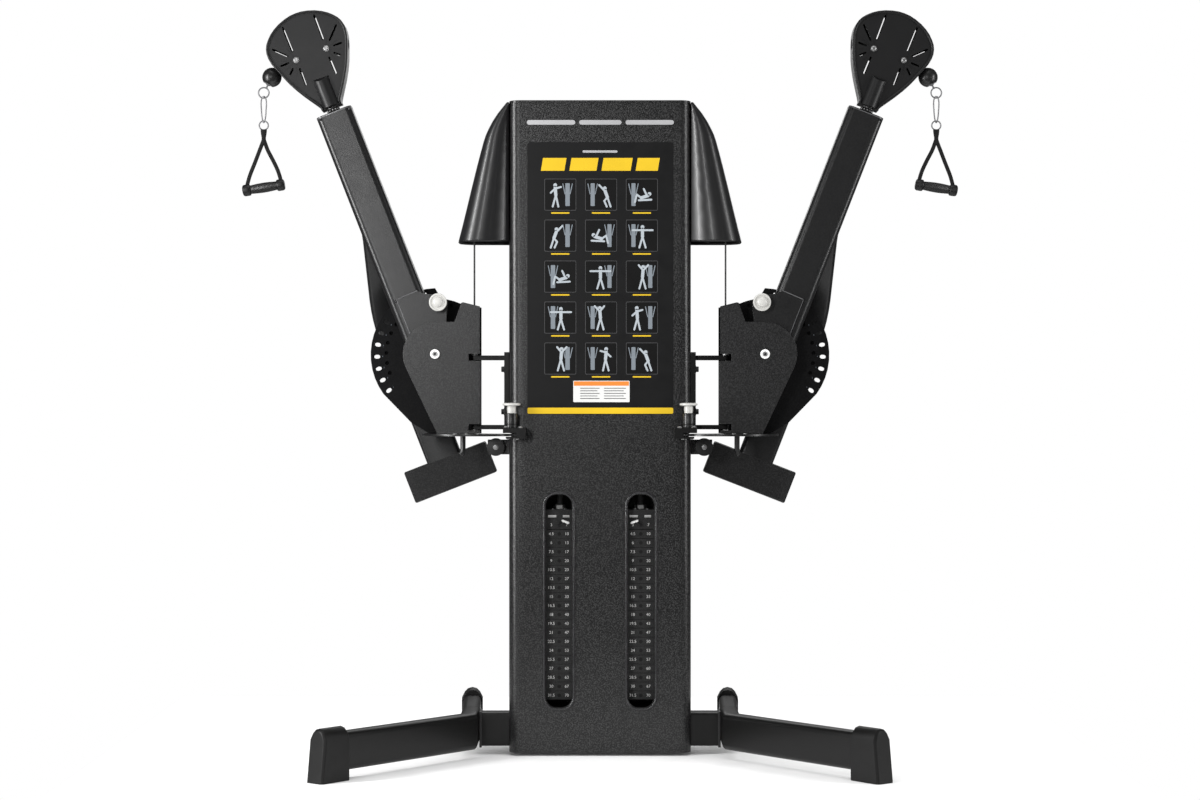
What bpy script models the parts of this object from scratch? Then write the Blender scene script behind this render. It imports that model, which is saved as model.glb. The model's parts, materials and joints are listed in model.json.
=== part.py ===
"""Cable crossover machine: a weight tower with two swinging, tilting pulley arms.

Metres, +Z up, the user stands on the -Y side. Each side is drawn with X pointing outward and is then
mirrored to the left or kept on the right. An arm is drawn upright about its pivot and its empty leans it.
"""
from math import atan2, cos, hypot, pi, radians, sin, tan

import bmesh
import bpy
from mathutils import Vector

for thing in list(bpy.data.objects):
    bpy.data.objects.remove(thing)

SIDES = (("left", -1), ("right", 1))
GAP = 0.0003

# tower
TOWER_HALF = 0.256
TOWER_TOP = 1.842
TOWER_FRONT = 0.020
TOWER_BACK = 0.230
SHEET = 0.004
COVER_FOOT = 0.009
CORNER = 0.030

# weight stacks
STACK_X = 0.1155
STACK_Y = 0.130
STACK_HALF_X = 0.078
STACK_HALF_Y = 0.050
STACK_FOOT = 0.151
PLATE = 0.0254
PLATES = 20
ROD_OFFSET = 0.056
WINDOW_HALF = 0.040
WINDOW_Z = (0.133, 0.737)

# swivel and tilt axes
SWIVEL_X = 0.3555
SWIVEL_Y = 0.080
PIVOT_X = 0.4635
PIVOT_Z = 1.129
LEAN = radians(21.3)
ARM_X = 0.020
ARM_HALF_X = 0.052
ARM_HALF_Y = 0.038
ARM_TOP = 0.742

# index rings
FAN_R = 0.150
FAN_Z = (0.899, 0.905)
SWING_PIN = (0.2477, -0.006)
SWING_STEP = radians(11.25)
SWING_HOLES = 9
TILT_PIN = (-0.062, 0.131)
TILT_STEP = radians(11.5)
TILT_HOLES = 12
PIN_R = 0.005

# pulley head, measured along the arm
NECK = 0.757
AXLES = 0.9155
AXLE_X = 0.0455
HEAD_HALF_Y = 0.030
HEAD_PULLEY_R = 0.0315
HEAD_GROOVE = HEAD_PULLEY_R - 0.007 + 0.0045
STOP_BALL = (0.1484, 0.900)
# half width of the head at each height
HEAD_SHAPE = ((0.0300, 0.757), (0.0305, 0.766), (0.0385, 0.779), (0.0505, 0.797), (0.0655, 0.820),
              (0.0800, 0.845), (0.0910, 0.867), (0.0990, 0.887), (0.1062, 0.905), (0.1105, 0.917),
              (0.1145, 0.930), (0.1172, 0.946), (0.1172, 0.960), (0.1140, 0.974), (0.1080, 0.986),
              (0.0990, 0.997), (0.0870, 1.0085), (0.0720, 1.0190), (0.0540, 1.0280), (0.0350, 1.0345),
              (0.0170, 1.0385), (0.0, 1.0395))

# handle, in the standing frame
BALL_R = 0.0275
RING_TOP = (0.9521, 1.8697)
RING_LOW_Z = 1.7773

# feet
BAR_Z = (0.023, 0.118)
LEG_Z = (0.025, 0.127)
LEG_HALF = 0.026
TUBE_WALL = 0.003
FOOT_HALF = 0.031
FOOT_TOP = 0.142
FOOT_LONG = 0.100
REAR_LEG = ((0.367, 0.1320), (0.378, 0.400))
FRONT_LEG = ((0.367, 0.130), (0.367, -0.030), (0.6817, -0.4081))

PAINT = {
    "cover_black": ((0.030, 0.030, 0.032), 0.55, 0.3),
    "frame_black": ((0.020, 0.020, 0.022), 0.45, 0.4),
    "plate_grey": ((0.065, 0.065, 0.068), 0.50, 0.4),
    "shroud_black": ((0.012, 0.012, 0.013), 0.20, 0.0),
    "stack_black": ((0.016, 0.016, 0.016), 0.60, 0.5),
    "rubber_black": ((0.018, 0.018, 0.018), 0.80, 0.0),
    "steel_bright": ((0.560, 0.560, 0.570), 0.30, 1.0),
    "knob_white": ((0.700, 0.700, 0.680), 0.35, 0.2),
    "moulded_black": ((0.022, 0.022, 0.023), 0.40, 0.0),
    "webbing_black": ((0.020, 0.020, 0.020), 0.90, 0.0),
    "cable_black": ((0.015, 0.015, 0.015), 0.50, 0.0),
}


def paint(name):
    """The named material, made the first time it is asked for."""
    if name in bpy.data.materials:
        return bpy.data.materials[name]
    colour, roughness, metallic = PAINT[name]
    material = bpy.data.materials.new(name)
    material.use_nodes = True
    shader = material.node_tree.nodes["Principled BSDF"]
    shader.inputs["Base Color"].default_value = (*colour, 1.0)
    shader.inputs["Roughness"].default_value = roughness
    shader.inputs["Metallic"].default_value = metallic
    return material


def empty(name, location, parent=None, turn=(0.0, 0.0, 0.0)):
    """A joint's own frame."""
    frame = bpy.data.objects.new(name, None)
    bpy.context.collection.objects.link(frame)
    frame.location = location
    frame.rotation_euler = turn
    frame.parent = parent
    return frame


def add(bm, name, material, side=1, origin=(0.0, 0.0, 0.0), parent=None):
    """An object from a bmesh drawn with X outward; its own origin stands at `origin`."""
    for vertex in bm.verts:
        vertex.co -= Vector(origin)
        vertex.co.x *= side
    if side < 0:
        bmesh.ops.reverse_faces(bm, faces=bm.faces)
    mesh = bpy.data.meshes.new(name)
    bm.to_mesh(mesh)
    bm.free()
    piece = bpy.data.objects.new(name, mesh)
    bpy.context.collection.objects.link(piece)
    mesh.materials.append(paint(material))
    piece.parent = parent
    if parent is None:
        piece.location = (origin[0] * side, origin[1], origin[2])
    return piece


def shape(piece, bm, operation, side=1, origin=(0.0, 0.0, 0.0)):
    """Join a hidden solid to a piece, or cut it out of the piece."""
    tool = add(bm, f"{piece.name}_{operation.lower()}_{len(piece.modifiers)}", "frame_black", side,
               origin, piece.parent)
    tool.location = piece.location
    tool.hide_render = True
    tool.display_type = "WIRE"
    step = piece.modifiers.new(operation.title(), "BOOLEAN")
    step.operation = operation
    step.solver = "EXACT"
    step.object = tool


def merged(*parts):
    """Several separate solids in one bmesh."""
    whole = bmesh.new()
    for part in parts:
        mesh = bpy.data.meshes.new("passing")
        part.to_mesh(mesh)
        part.free()
        whole.from_mesh(mesh)
        bpy.data.meshes.remove(mesh)
    return whole


def at_height(point, axis, height):
    """A flat point (a, b) lifted along an axis: x gives (y, z), y gives (x, z), z gives (x, y)."""
    a, b = point
    return {"x": (height, a, b), "y": (a, height, b), "z": (a, b, height)}[axis]


def facing_out(bm):
    """The same solid with its faces turned outward."""
    if bm.calc_volume(signed=True) < 0:
        bmesh.ops.reverse_faces(bm, faces=bm.faces)
    return bm


def loft(rings):
    """A closed solid through rings of equally many points."""
    bm = bmesh.new()
    made = [[bm.verts.new(point) for point in ring] for ring in rings]
    count = len(made[0])
    for near, far in zip(made, made[1:]):
        for i in range(count):
            j = (i + 1) % count
            bm.faces.new((near[i], near[j], far[j], far[i]))
    bm.faces.new(list(reversed(made[0])))
    bm.faces.new(made[-1])
    return facing_out(bm)


def plate(outline, axis, low, high):
    """A flat outline given a thickness."""
    return loft([[at_height(point, axis, height) for point in outline] for height in (low, high)])


def block(x, y, z):
    """A box from its low and high X, Y and Z."""
    return plate([(x[0], y[0]), (x[1], y[0]), (x[1], y[1]), (x[0], y[1])], "z", *z)


def arc(centre, radius, start, end, steps):
    """Points on a circle from one angle to another, in degrees."""
    points = []
    for i in range(steps + 1):
        angle = radians(start + (end - start) * i / steps)
        points.append((centre[0] + radius * cos(angle), centre[1] + radius * sin(angle)))
    return points


def circle(centre, radius, steps=16):
    return arc(centre, radius, 0, 360, steps)[:-1]


def rounded(width, height, radius, steps=3, centre=(0.0, 0.0)):
    """A rectangle with round corners, from its half width and half height."""
    points = []
    for sx, sy, start in ((1, 1, 0), (-1, 1, 90), (-1, -1, 180), (1, -1, 270)):
        corner = (centre[0] + sx * (width - radius), centre[1] + sy * (height - radius))
        points += arc(corner, radius, start, start + 90, steps)
    return points


def capsule(start, end, half, steps=4):
    """A slot's outline from one end centre to the other."""
    heading = atan2(end[1] - start[1], end[0] - start[0]) * 180 / pi
    far = arc(end, half, heading - 90, heading + 90, steps)
    return far + arc(start, half, heading + 90, heading + 270, steps)


def rod(centre, radius, axis, low, high, steps=16):
    return plate(circle(centre, radius, steps), axis, low, high)


def turned(profile, axis, centre, steps=20):
    """A ring turned about an axis, from a closed profile of (radius, height) points off the axis."""
    bm = bmesh.new()
    loops = []
    for i in range(steps):
        across, along = cos(2 * pi * i / steps), sin(2 * pi * i / steps)
        spots = [((centre[0] + r * across, centre[1] + r * along), h) for r, h in profile]
        loops.append([bm.verts.new(at_height(spot, axis, h)) for spot, h in spots])
    for i in range(steps):
        near, far = loops[i], loops[(i + 1) % steps]
        for k in range(len(profile)):
            m = (k + 1) % len(profile)
            bm.faces.new((near[k], near[m], far[m], far[k]))
    return facing_out(bm)


def ball(centre, radius, steps=16):
    bm = bmesh.new()
    bmesh.ops.create_uvsphere(bm, u_segments=steps, v_segments=steps // 2, radius=radius)
    bmesh.ops.translate(bm, vec=centre, verts=bm.verts)
    return bm


def tube(points, radius, steps=8, flat=1.0, across=(0.0, 1.0, 0.0)):
    """A bar of round or flattened section along a path."""
    path = [Vector(point) for point in points]
    rings = []
    for i, point in enumerate(path):
        ahead = (path[min(i + 1, len(path) - 1)] - path[max(i - 1, 0)]).normalized()
        right = ahead.cross(Vector(across)).normalized()
        up = right.cross(ahead)
        ring = []
        for k in range(steps):
            angle = 2 * pi * k / steps
            ring.append(point + right * radius * cos(angle) + up * radius * flat * sin(angle))
        rings.append(ring)
    return loft(rings)


def pulley(name, side, frame, radius, half_width, bore):
    """A grooved cable pulley on its own axle."""
    profile = [(bore, -half_width), (radius, -half_width), (radius - 0.007, 0.0), (radius, half_width),
               (bore, half_width)]
    return add(turned(profile, "y", (0.0, 0.0)), name, "moulded_black", side, parent=frame)


# ---------------------------------------------------------------- base


def leg_rings(path, half, low, high):
    """Round-topped tube sections along a floor path, mitred at each bend."""
    rings = []
    for i, (x, y) in enumerate(path):
        before = Vector(path[i]) - Vector(path[i - 1]) if i else Vector(path[1]) - Vector(path[0])
        after = Vector(path[i + 1]) - Vector(path[i]) if i + 1 < len(path) else before
        ahead = (before.normalized() + after.normalized()).normalized()
        stretch = 1 / max(ahead.dot(after.normalized()), 0.5)
        right = Vector((ahead.y, -ahead.x)) * stretch
        section = rounded(half, (high - low) / 2, 0.016, 3, (0.0, (high + low) / 2))
        rings.append([(x + right.x * a, y + right.y * a, z) for a, z in section])
    return rings


def foot(start, ahead):
    """A moulded end cap that stands on the floor: an arch, longer at its foot."""
    start, ahead = Vector(start), Vector(ahead).normalized()
    right = Vector((ahead.y, -ahead.x))
    arch = [(-FOOT_HALF, 0.0), (FOOT_HALF, 0.0), (FOOT_HALF, FOOT_TOP - 0.030)]
    arch += arc((0.0, FOOT_TOP - 0.026), 0.026, 0, 180, 6)[1:-1] + [(-FOOT_HALF, FOOT_TOP - 0.030)]
    rings = []
    stations = ((0.0, 0.0, 0.0), (FOOT_LONG - 0.021, 0.0, 0.015), (FOOT_LONG - 0.015, 0.006, 0.015))
    for along, inset, slope in stations:
        ring = []
        for a, z in arch:
            reach = along + slope * (1 - z / FOOT_TOP)
            wide = a * (1 - inset / FOOT_HALF)
            high = z * (1 - inset / FOOT_TOP)
            place = start + ahead * reach + right * wide
            ring.append((place.x, place.y, high))
        rings.append(ring)
    return loft(rings)


def base(side_name, s):
    inner_z = (LEG_Z[0] + TUBE_WALL, LEG_Z[1] - TUBE_WALL)
    for name, path in (("front", FRONT_LEG), ("rear", REAR_LEG)):
        leg = add(loft(leg_rings(path, LEG_HALF, *LEG_Z)), f"{name}_leg_{side_name}", "frame_black", s)
        back = (Vector(path[0]) - Vector(path[1])).normalized()
        ahead = (Vector(path[-1]) - Vector(path[-2])).normalized()
        through = [Vector(path[0]) + back * 0.01, *path[1:-1], Vector(path[-1]) + ahead * 0.01]
        shape(leg, loft(leg_rings(through, LEG_HALF - TUBE_WALL, *inner_z)), "DIFFERENCE", s)
        start = Vector(path[-1]) + ahead * GAP
        add(foot(start, ahead), f"{name}_foot_{side_name}", "rubber_black", s)


def base_bar():
    half = FRONT_LEG[0][0] - LEG_HALF - GAP
    wide, high, centre = 0.030, (BAR_Z[1] - BAR_Z[0]) / 2, (0.085, sum(BAR_Z) / 2)
    bar = add(plate(rounded(wide, high, 0.008, 2, centre), "x", -half, half), "base_bar", "frame_black")
    bore = rounded(wide - TUBE_WALL, high - TUBE_WALL, 0.005, 2, centre)
    shape(bar, plate(bore, "x", -half - 0.01, half + 0.01), "DIFFERENCE", 1)


# ---------------------------------------------------------------- tower


def cover_outline(inset):
    """The wrapped front sheet seen from above: open at the back."""
    half, front, radius = TOWER_HALF - inset, TOWER_FRONT + inset, CORNER - inset
    left = arc((-half + radius, front + radius), radius, 180, 270, 5)
    right = arc((half - radius, front + radius), radius, 270, 360, 5)
    return [(-half, TOWER_BACK - 0.006)] + left + right + [(half, TOWER_BACK - 0.006)]


def front_cover():
    """One folded sheet with two stack windows, a slit for each index plate and a door for each cable."""
    sheet = cover_outline(0.0) + list(reversed(cover_outline(SHEET)))
    cover = add(plate(sheet, "z", COVER_FOOT, TOWER_TOP - 0.008), "front_cover", "cover_black")
    windows, slits, doors, feet, lugs = [], [], [], [], []
    middle, half = sum(WINDOW_Z) / 2, (WINDOW_Z[1] - WINDOW_Z[0]) / 2
    for s in (-1, 1):
        outline = rounded(WINDOW_HALF, half, 0.030, 5, (s * STACK_X, middle))
        windows.append(plate(outline, "y", TOWER_FRONT - 0.01, TOWER_FRONT + 0.01))
        side = sorted((s * 0.209, s * 0.270))
        slits.append(block(side, (TOWER_FRONT - 0.01, 0.196), (0.895, 0.909)))
        side = sorted((s * 0.240, s * 0.270))
        doors.append(block(side, (0.045, 0.170), (1.45, 1.61)))
        feet.append(block(side, (0.052, 0.118), (0.0, BAR_Z[1] + 0.002)))
        # a lug below each slit holds a round stop for the swing
        lug = block(sorted((s * 0.2555, s * 0.318)), (0.084, 0.090), (0.846, 0.888))
        lugs.append(lug)
    shape(cover, merged(*windows, *slits, *doors, *feet), "DIFFERENCE")
    shape(cover, merged(*lugs), "UNION")
    stops = [rod((s * 0.2946, 0.867), 0.025, "y", 0.062, 0.0845, 20) for s in (-1, 1)]
    shape(cover, merged(*stops), "UNION")


def back_cover():
    """The rear sheet with the top cap folded over the tower."""
    half = TOWER_HALF - GAP
    back = block((-half, half), (TOWER_BACK - 0.0055, TOWER_BACK), (COVER_FOOT, TOWER_TOP))
    cover = add(back, "back_cover", "cover_black")
    corner = arc((-half + CORNER, TOWER_FRONT + CORNER), CORNER, 180, 270, 5)
    corner += arc((half - CORNER, TOWER_FRONT + CORNER), CORNER, 270, 360, 5)
    cap = corner + [(half, TOWER_BACK - 0.003), (-half, TOWER_BACK - 0.003)]
    shape(cover, plate(cap, "z", TOWER_TOP - 0.0077, TOWER_TOP), "UNION")


def pulley_plane():
    """The upright plane that a side's cable runs in, from over the stack to over the swivel."""
    run = Vector((SWIVEL_X - STACK_X, SWIVEL_Y - STACK_Y))
    return run.normalized(), run.length


TOP_PULLEY_R = 0.050
TOP_PULLEY_Z = 1.530
CABLE_R = 0.0025
TOP_GROOVE = TOP_PULLEY_R - 0.007 + 0.0055


def pulley_centres():
    ahead, length = pulley_plane()
    inner = Vector((STACK_X, STACK_Y)) + ahead * TOP_GROOVE
    outer = Vector((STACK_X, STACK_Y)) + ahead * (length - TOP_GROOVE)
    return inner, outer


def in_plane(origin, ahead, along, across):
    """A point given along and across the pulley plane, seen from above."""
    right = Vector((-ahead.y, ahead.x))
    place = Vector(origin) + ahead * along + right * across
    return place.x, place.y


def tower_frame():
    """Floor plate, rear posts, head beam, guide rods and the pulley carriers, welded up."""
    floor = block((-0.245, 0.245), (0.034, 0.2235), (BAR_Z[1] + GAP, 0.128))
    frame = add(floor, "tower_frame", "frame_black")
    posts, beams, rods, carriers, axles = [], [], [], [], []
    ahead, _ = pulley_plane()
    for s in (-1, 1):
        posts.append(block(sorted((s * 0.192, s * 0.250)), (0.198, 0.2235), (0.120, 1.79)))
        for offset in (-ROD_OFFSET, ROD_OFFSET):
            spot = (s * (STACK_X + offset), STACK_Y)
            rods.append(rod(spot, 0.007, "z", 0.120, 1.42, 8))
            rods.append(rod(spot, 0.016, "z", 0.1205, STACK_FOOT - GAP, 8))
        rail = block(sorted((s * 0.040, s * 0.230)), (STACK_Y - 0.012, 0.210), (1.40, 1.415))
        carriers.append(rail)
        inner, outer = pulley_centres()
        corners = [in_plane(inner, ahead, -0.02, 0.014), in_plane(outer, ahead, 0.012, 0.014),
                   in_plane(outer, ahead, 0.012, 0.020), in_plane(inner, ahead, -0.02, 0.020)]
        wall = plate([(s * x, y) for x, y in corners], "z", TOP_PULLEY_Z - 0.02, TOP_PULLEY_Z + 0.02)
        carriers.append(wall)
        levels = (TOP_PULLEY_Z - 0.012, TOP_PULLEY_Z + 0.012)
        tie = block(sorted((s * 0.198, s * 0.240)), (0.130, 0.210), levels)
        carriers.append(tie)
        for centre in (inner, outer):
            ends = [in_plane(centre, ahead, 0.0, across) for across in (-0.010, 0.016)]
            near, far = [(s * x, y, TOP_PULLEY_Z) for x, y in ends]
            axles.append(tube([near, far], 0.006, 10, across=(0.0, 0.0, 1.0)))
    beams.append(block((-0.245, 0.245), (0.060, 0.2235), (1.775, 1.79)))
    for batch in (posts, beams, carriers, rods, axles):
        for solid in batch:
            shape(frame, solid, "UNION")


def shroud(side_name, s):
    """A flared hood over the top pulley: open below and against the tower."""
    heights = ((1.838, 0.270, 0.010), (1.748, 0.328, 0.030), (1.600, 0.365, 0.048), (1.446, 0.404, 0.060))

    def section(z, reach, radius, inner, inset):
        front, back = 0.032 + inset, 0.205 - inset
        reach, radius = reach - inset, radius - inset
        points = [(inner, front)] + arc((reach - radius, front + radius), radius, 270, 360, 5)
        points += arc((reach - radius, back - radius), radius, 0, 90, 5) + [(inner, back)]
        return [(x, y, z) for x, y in points]

    outer = [section(z, reach, radius, TOWER_HALF + GAP * 2, 0.0) for z, reach, radius in heights]
    hood = add(loft(outer), f"side_shroud_{side_name}", "shroud_black", s)
    hollow = ((1.830, 0.2752, 0.012), (1.748, 0.328, 0.030), (1.600, 0.365, 0.048), (1.440, 0.4055, 0.060))
    pocket = [section(z, reach, radius, TOWER_HALF - 0.02, 0.003) for z, reach, radius in hollow]
    shape(hood, loft(pocket), "DIFFERENCE", s)


# ---------------------------------------------------------------- weight stacks


def stack_section(grow=0.0):
    return rounded(STACK_HALF_X + grow, STACK_HALF_Y + grow, 0.004, 1, (STACK_X, STACK_Y))


def ribbed(low, count):
    """A pile of plates with a groove between each two."""
    rings = []
    for i in range(count):
        foot_z = low + i * PLATE
        for z, grow in ((foot_z, -0.0015), (foot_z + 0.0012, 0.0), (foot_z + PLATE - 0.0012, 0.0)):
            rings.append([(x, y, z) for x, y in stack_section(grow)])
    rings.append([(x, y, low + count * PLATE) for x, y in stack_section(-0.0015)])
    return loft(rings)


def stack_holes(low, high):
    holes = [rod((STACK_X + offset, STACK_Y), 0.0080, "z", low - 0.01, high + 0.01, 12)
             for offset in (-ROD_OFFSET, ROD_OFFSET)]
    return holes


def stacks(side_name, s):
    """Nineteen plates at rest, and the head plate that lifts with the one picked plate and the stem."""
    resting_top = STACK_FOOT + (PLATES - 1) * PLATE
    pile = add(ribbed(STACK_FOOT, PLATES - 1), f"weight_stack_{side_name}", "stack_black", s)
    bores = stack_holes(STACK_FOOT, resting_top)
    bores.append(rod((STACK_X, STACK_Y), 0.0125, "z", STACK_FOOT - 0.01, resting_top + 0.01, 12))
    shape(pile, merged(*bores), "DIFFERENCE", s)

    origin = (STACK_X, STACK_Y, resting_top)
    lift_frame = empty(f"lift_{side_name}", (s * STACK_X, STACK_Y, resting_top))
    head_top = resting_top + PLATE + 0.031
    head = ribbed(resting_top + GAP, 1)
    picked = add(head, f"lift_plate_{side_name}", "stack_black", s, origin, lift_frame)
    head = plate(stack_section(0.0), "z", resting_top + PLATE - 0.001, head_top)
    shape(picked, head, "UNION", s, origin)
    stem = rod((STACK_X, STACK_Y), 0.011, "z", STACK_FOOT + 0.004, resting_top + 0.01, 12)
    stud = rod((STACK_X, STACK_Y), 0.010, "z", head_top - 0.005, head_top + 0.045, 12)
    shape(picked, merged(stem, stud), "UNION", s, origin)
    pick_z = resting_top + PLATE / 2
    bores = stack_holes(resting_top, head_top)
    bores.append(rod((STACK_X, pick_z), 0.0048, "y", STACK_Y - STACK_HALF_Y - 0.01, STACK_Y + 0.006, 12))
    for bore in bores:
        shape(picked, bore, "DIFFERENCE", s, origin)

    front = STACK_Y - STACK_HALF_Y
    pin_origin = (STACK_X, front, pick_z)
    pin_frame = empty(f"selector_{side_name}", (0.0, front - STACK_Y, pick_z - resting_top), lift_frame)
    pin = rod((STACK_X, pick_z), 0.0042, "y", front - 0.008, STACK_Y + 0.004, 12)
    picker = add(pin, f"selector_pin_{side_name}", "knob_white", s, pin_origin, pin_frame)
    shank = [(STACK_X, front - 0.003, pick_z), (STACK_X - 0.006, front - 0.0095, pick_z + 0.0045),
             (STACK_X - 0.018, front - 0.0140, pick_z + 0.0095)]
    shape(picker, tube(shank, 0.0034, 8, across=(1.0, 0.0, 0.0)), "UNION", s, pin_origin)
    grip = capsule((STACK_X - 0.0070, pick_z + 0.0135), (STACK_X - 0.0290, pick_z + 0.0055), 0.0052, 4)
    shape(picker, plate(grip, "y", front - 0.0195, front - 0.0085), "UNION", s, pin_origin)


def top_pulleys(side_name, s):
    ahead, _ = pulley_plane()
    turn = atan2(ahead.y, ahead.x) * s
    for name, centre in zip(("inner", "outer"), pulley_centres()):
        spot = (s * centre.x, centre.y, TOP_PULLEY_Z)
        frame = empty(f"top_pulley_frame_{name}_{side_name}", spot, turn=(0.0, 0.0, turn))
        pulley(f"top_pulley_{name}_{side_name}", s, frame, TOP_PULLEY_R, 0.009, 0.0063)


def cable(side_name, s):
    """The cable from above the stack, over both top pulleys and down the swivel axis."""
    ahead, _ = pulley_plane()
    inner, outer = pulley_centres()
    top = []
    for centre, start, end in ((inner, 180, 90), (outer, 90, 0)):
        for i in range(7):
            angle = radians(start + (end - start) * i / 6)
            x, y = in_plane(centre, ahead, TOP_GROOVE * cos(angle), 0.0)
            top.append((x, y, TOP_PULLEY_Z + TOP_GROOVE * sin(angle)))
    path = [(STACK_X, STACK_Y, 1.47)] + top + [(SWIVEL_X, SWIVEL_Y, 1.30), (SWIVEL_X, SWIVEL_Y, 1.06)]
    add(tube(path, CABLE_R, 6, across=(0.2, 0.98, 0.0)), f"cable_{side_name}", "cable_black", s)


# ---------------------------------------------------------------- swivel bracket and its pin


def bracket(side_name, s):
    """Bolted to the tower's side: two bars that hold the swivel post, and the index jaw."""
    name = f"swivel_bracket_{side_name}"
    root = TOWER_HALF + GAP
    wall = add(block((root, 0.270), (0.045, 0.115), (0.912, 1.135)), name, "frame_black", s)
    for low, high in ((1.1125, 1.1260), (0.9170, 0.9295)):
        bar = [(0.262, SWIVEL_Y - 0.011)] + arc((SWIVEL_X, SWIVEL_Y), 0.011, -90, 90, 6)
        bar.append((0.262, SWIVEL_Y + 0.011))
        shape(wall, plate(bar, "z", low, high), "UNION", s)
    jaw = [((0.258, 0.270), (-0.045, 0.050), (0.912, 0.924)),
           ((0.206, 0.270), (-0.052, 0.0175), (0.908, 0.922)),
           ((0.206, 0.232), (-0.052, -0.045), (0.894, 0.915)),
           ((0.206, 0.262), (-0.052, -0.0125), (0.8925, 0.8975))]
    for x, y, z in jaw:
        shape(wall, block(x, y, z), "UNION", s)
    shape(wall, rod(SWING_PIN, 0.0165, "z", 0.920, 0.962, 20), "UNION", s)
    shape(wall, rod(SWING_PIN, 0.0135, "z", 0.9505, 0.970, 16), "DIFFERENCE", s)
    shape(wall, rod(SWING_PIN, PIN_R + 0.0004, "z", 0.900, 0.960, 12), "DIFFERENCE", s)
    shape(wall, rod((SWIVEL_X, SWIVEL_Y), 0.0045, "z", 1.10, 1.14, 12), "DIFFERENCE", s)

    spot = (*SWING_PIN, 0.9065)
    frame = empty(f"swing_pin_frame_{side_name}", (s * spot[0], spot[1], spot[2]))
    profile = [(0.0, 0.9065), (PIN_R, 0.9065), (PIN_R, 0.963), (0.0125, 0.963), (0.0125, 0.986),
               (0.025, 0.986), (0.025, 0.991), (0.021, 0.996), (0.0, 0.996)]
    rings = [circle(SWING_PIN, max(r, 0.0005), 20) for r, _ in profile[1:-1]]
    solid = loft([[(x, y, h) for x, y in ring] for ring, (_, h) in zip(rings, profile[1:-1])])
    add(solid, f"swing_pin_{side_name}", "knob_white", s, spot, frame)


# ---------------------------------------------------------------- carrier: turns about the swivel


def from_pivot(points):
    return [(PIVOT_X + x, PIVOT_Z + z) for x, z in points]


def carrier(side_name, s, frame):
    origin = (SWIVEL_X, SWIVEL_Y, PIVOT_Z)
    foot_z, inner = FAN_Z[1] + GAP - PIVOT_Z, -0.1258
    notch = -0.0945
    edge = radians(-25.5)
    hub = arc((0.0, 0.0), 0.0907, 90, -25.5, 9)
    toe = 0.0907 * cos(edge) - (0.0907 * sin(edge) - foot_z) * tan(radians(25.5))
    outline = [(-0.0794, 0.1455), (-0.0737, 0.1440), (-0.0550, 0.0907)] + hub
    outline += [(toe, foot_z), (inner, foot_z)]
    outline += [(inner, -0.2145), (notch, -0.2145), (notch, -0.1970), (inner, -0.1970)]
    outline += [(inner, -0.0190), (notch, -0.0190), (notch, 0.0010), (inner, 0.0010), (inner, 0.1342)]
    front = add(plate(from_pivot(outline), "y", 0.022, 0.028), f"pivot_plate_{side_name}", "plate_grey", s,
                origin, frame)
    shape(front, rod((PIVOT_X, PIVOT_Z), 0.0120, "y", 0.026, 0.1237, 16), "UNION", s, origin)
    shape(front, rod((PIVOT_X, PIVOT_Z), 0.0125, "y", 0.017, 0.023, 20), "UNION", s, origin)
    shape(front, rod((PIVOT_X, PIVOT_Z), 0.0065, "y", 0.013, 0.018, 6), "UNION", s, origin)

    wide = 0.190
    sector = arc((0.0, 0.0), wide, -36, 88, 16) + arc((0.0, 0.0), 0.160, 94, 114, 3)
    sector += [(-0.0794, 0.1440), (inner, 0.1342), (inner, foot_z), (0.0240, foot_z), (0.0757, -0.192)]
    rear = add(plate(from_pivot(sector), "y", 0.124, 0.130), f"tilt_sector_{side_name}", "frame_black", s,
               origin, frame)
    pin_angle = tilt_pin_angle()
    holes = []
    for i in range(TILT_HOLES):
        angle = pin_angle + TILT_STEP * (1 - i)
        reach = hypot(*TILT_PIN)
        centre = (PIVOT_X + reach * cos(angle), PIVOT_Z + reach * sin(angle))
        holes.append(rod(centre, PIN_R + 0.0005, "y", 0.12, 0.14, 10))
        angle = radians(-36.4) + TILT_STEP * i
        ends = [(PIVOT_X + r * cos(angle), PIVOT_Z + r * sin(angle)) for r in (0.168, 0.175)]
        if i < 11:
            holes.append(plate(capsule(*ends, 0.0055, 3), "y", 0.12, 0.14))
    shape(rear, merged(*holes), "DIFFERENCE", s, origin)

    post = block((SWIVEL_X - 0.0175, SWIVEL_X + 0.0175), (0.0283, 0.1237), (0.9325, 1.1095))
    post_piece = add(post, f"swivel_post_{side_name}", "frame_black", s, origin, frame)
    shape(post_piece, rod((SWIVEL_X, SWIVEL_Y), 0.0060, "z", 0.92, 1.12, 12), "DIFFERENCE", s, origin)

    fan_outline = [(SWIVEL_X - 0.016, SWIVEL_Y + 0.03)] + arc((SWIVEL_X, SWIVEL_Y), FAN_R, 208, 440, 24)
    fan = add(plate(fan_outline, "z", *FAN_Z), f"index_plate_{side_name}", "frame_black", s, origin, frame)
    reach = hypot(SWING_PIN[0] - SWIVEL_X, SWING_PIN[1] - SWIVEL_Y)
    first = atan2(SWING_PIN[1] - SWIVEL_Y, SWING_PIN[0] - SWIVEL_X)
    holes = []
    for i in range(SWING_HOLES):
        angle = first + SWING_STEP * i
        centre = (SWIVEL_X + reach * cos(angle), SWIVEL_Y + reach * sin(angle))
        holes.append(rod(centre, PIN_R + 0.0005, "z", 0.89, 0.91, 10))
    shape(fan, merged(*holes), "DIFFERENCE", s, origin)
    stop = [(0.385, 0.025, 0.902), (0.385, 0.025, 0.862), (0.387, 0.025, 0.852), (0.392, 0.025, 0.847)]
    shape(fan, tube(stop, 0.0075, 8), "UNION", s, origin)


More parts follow.
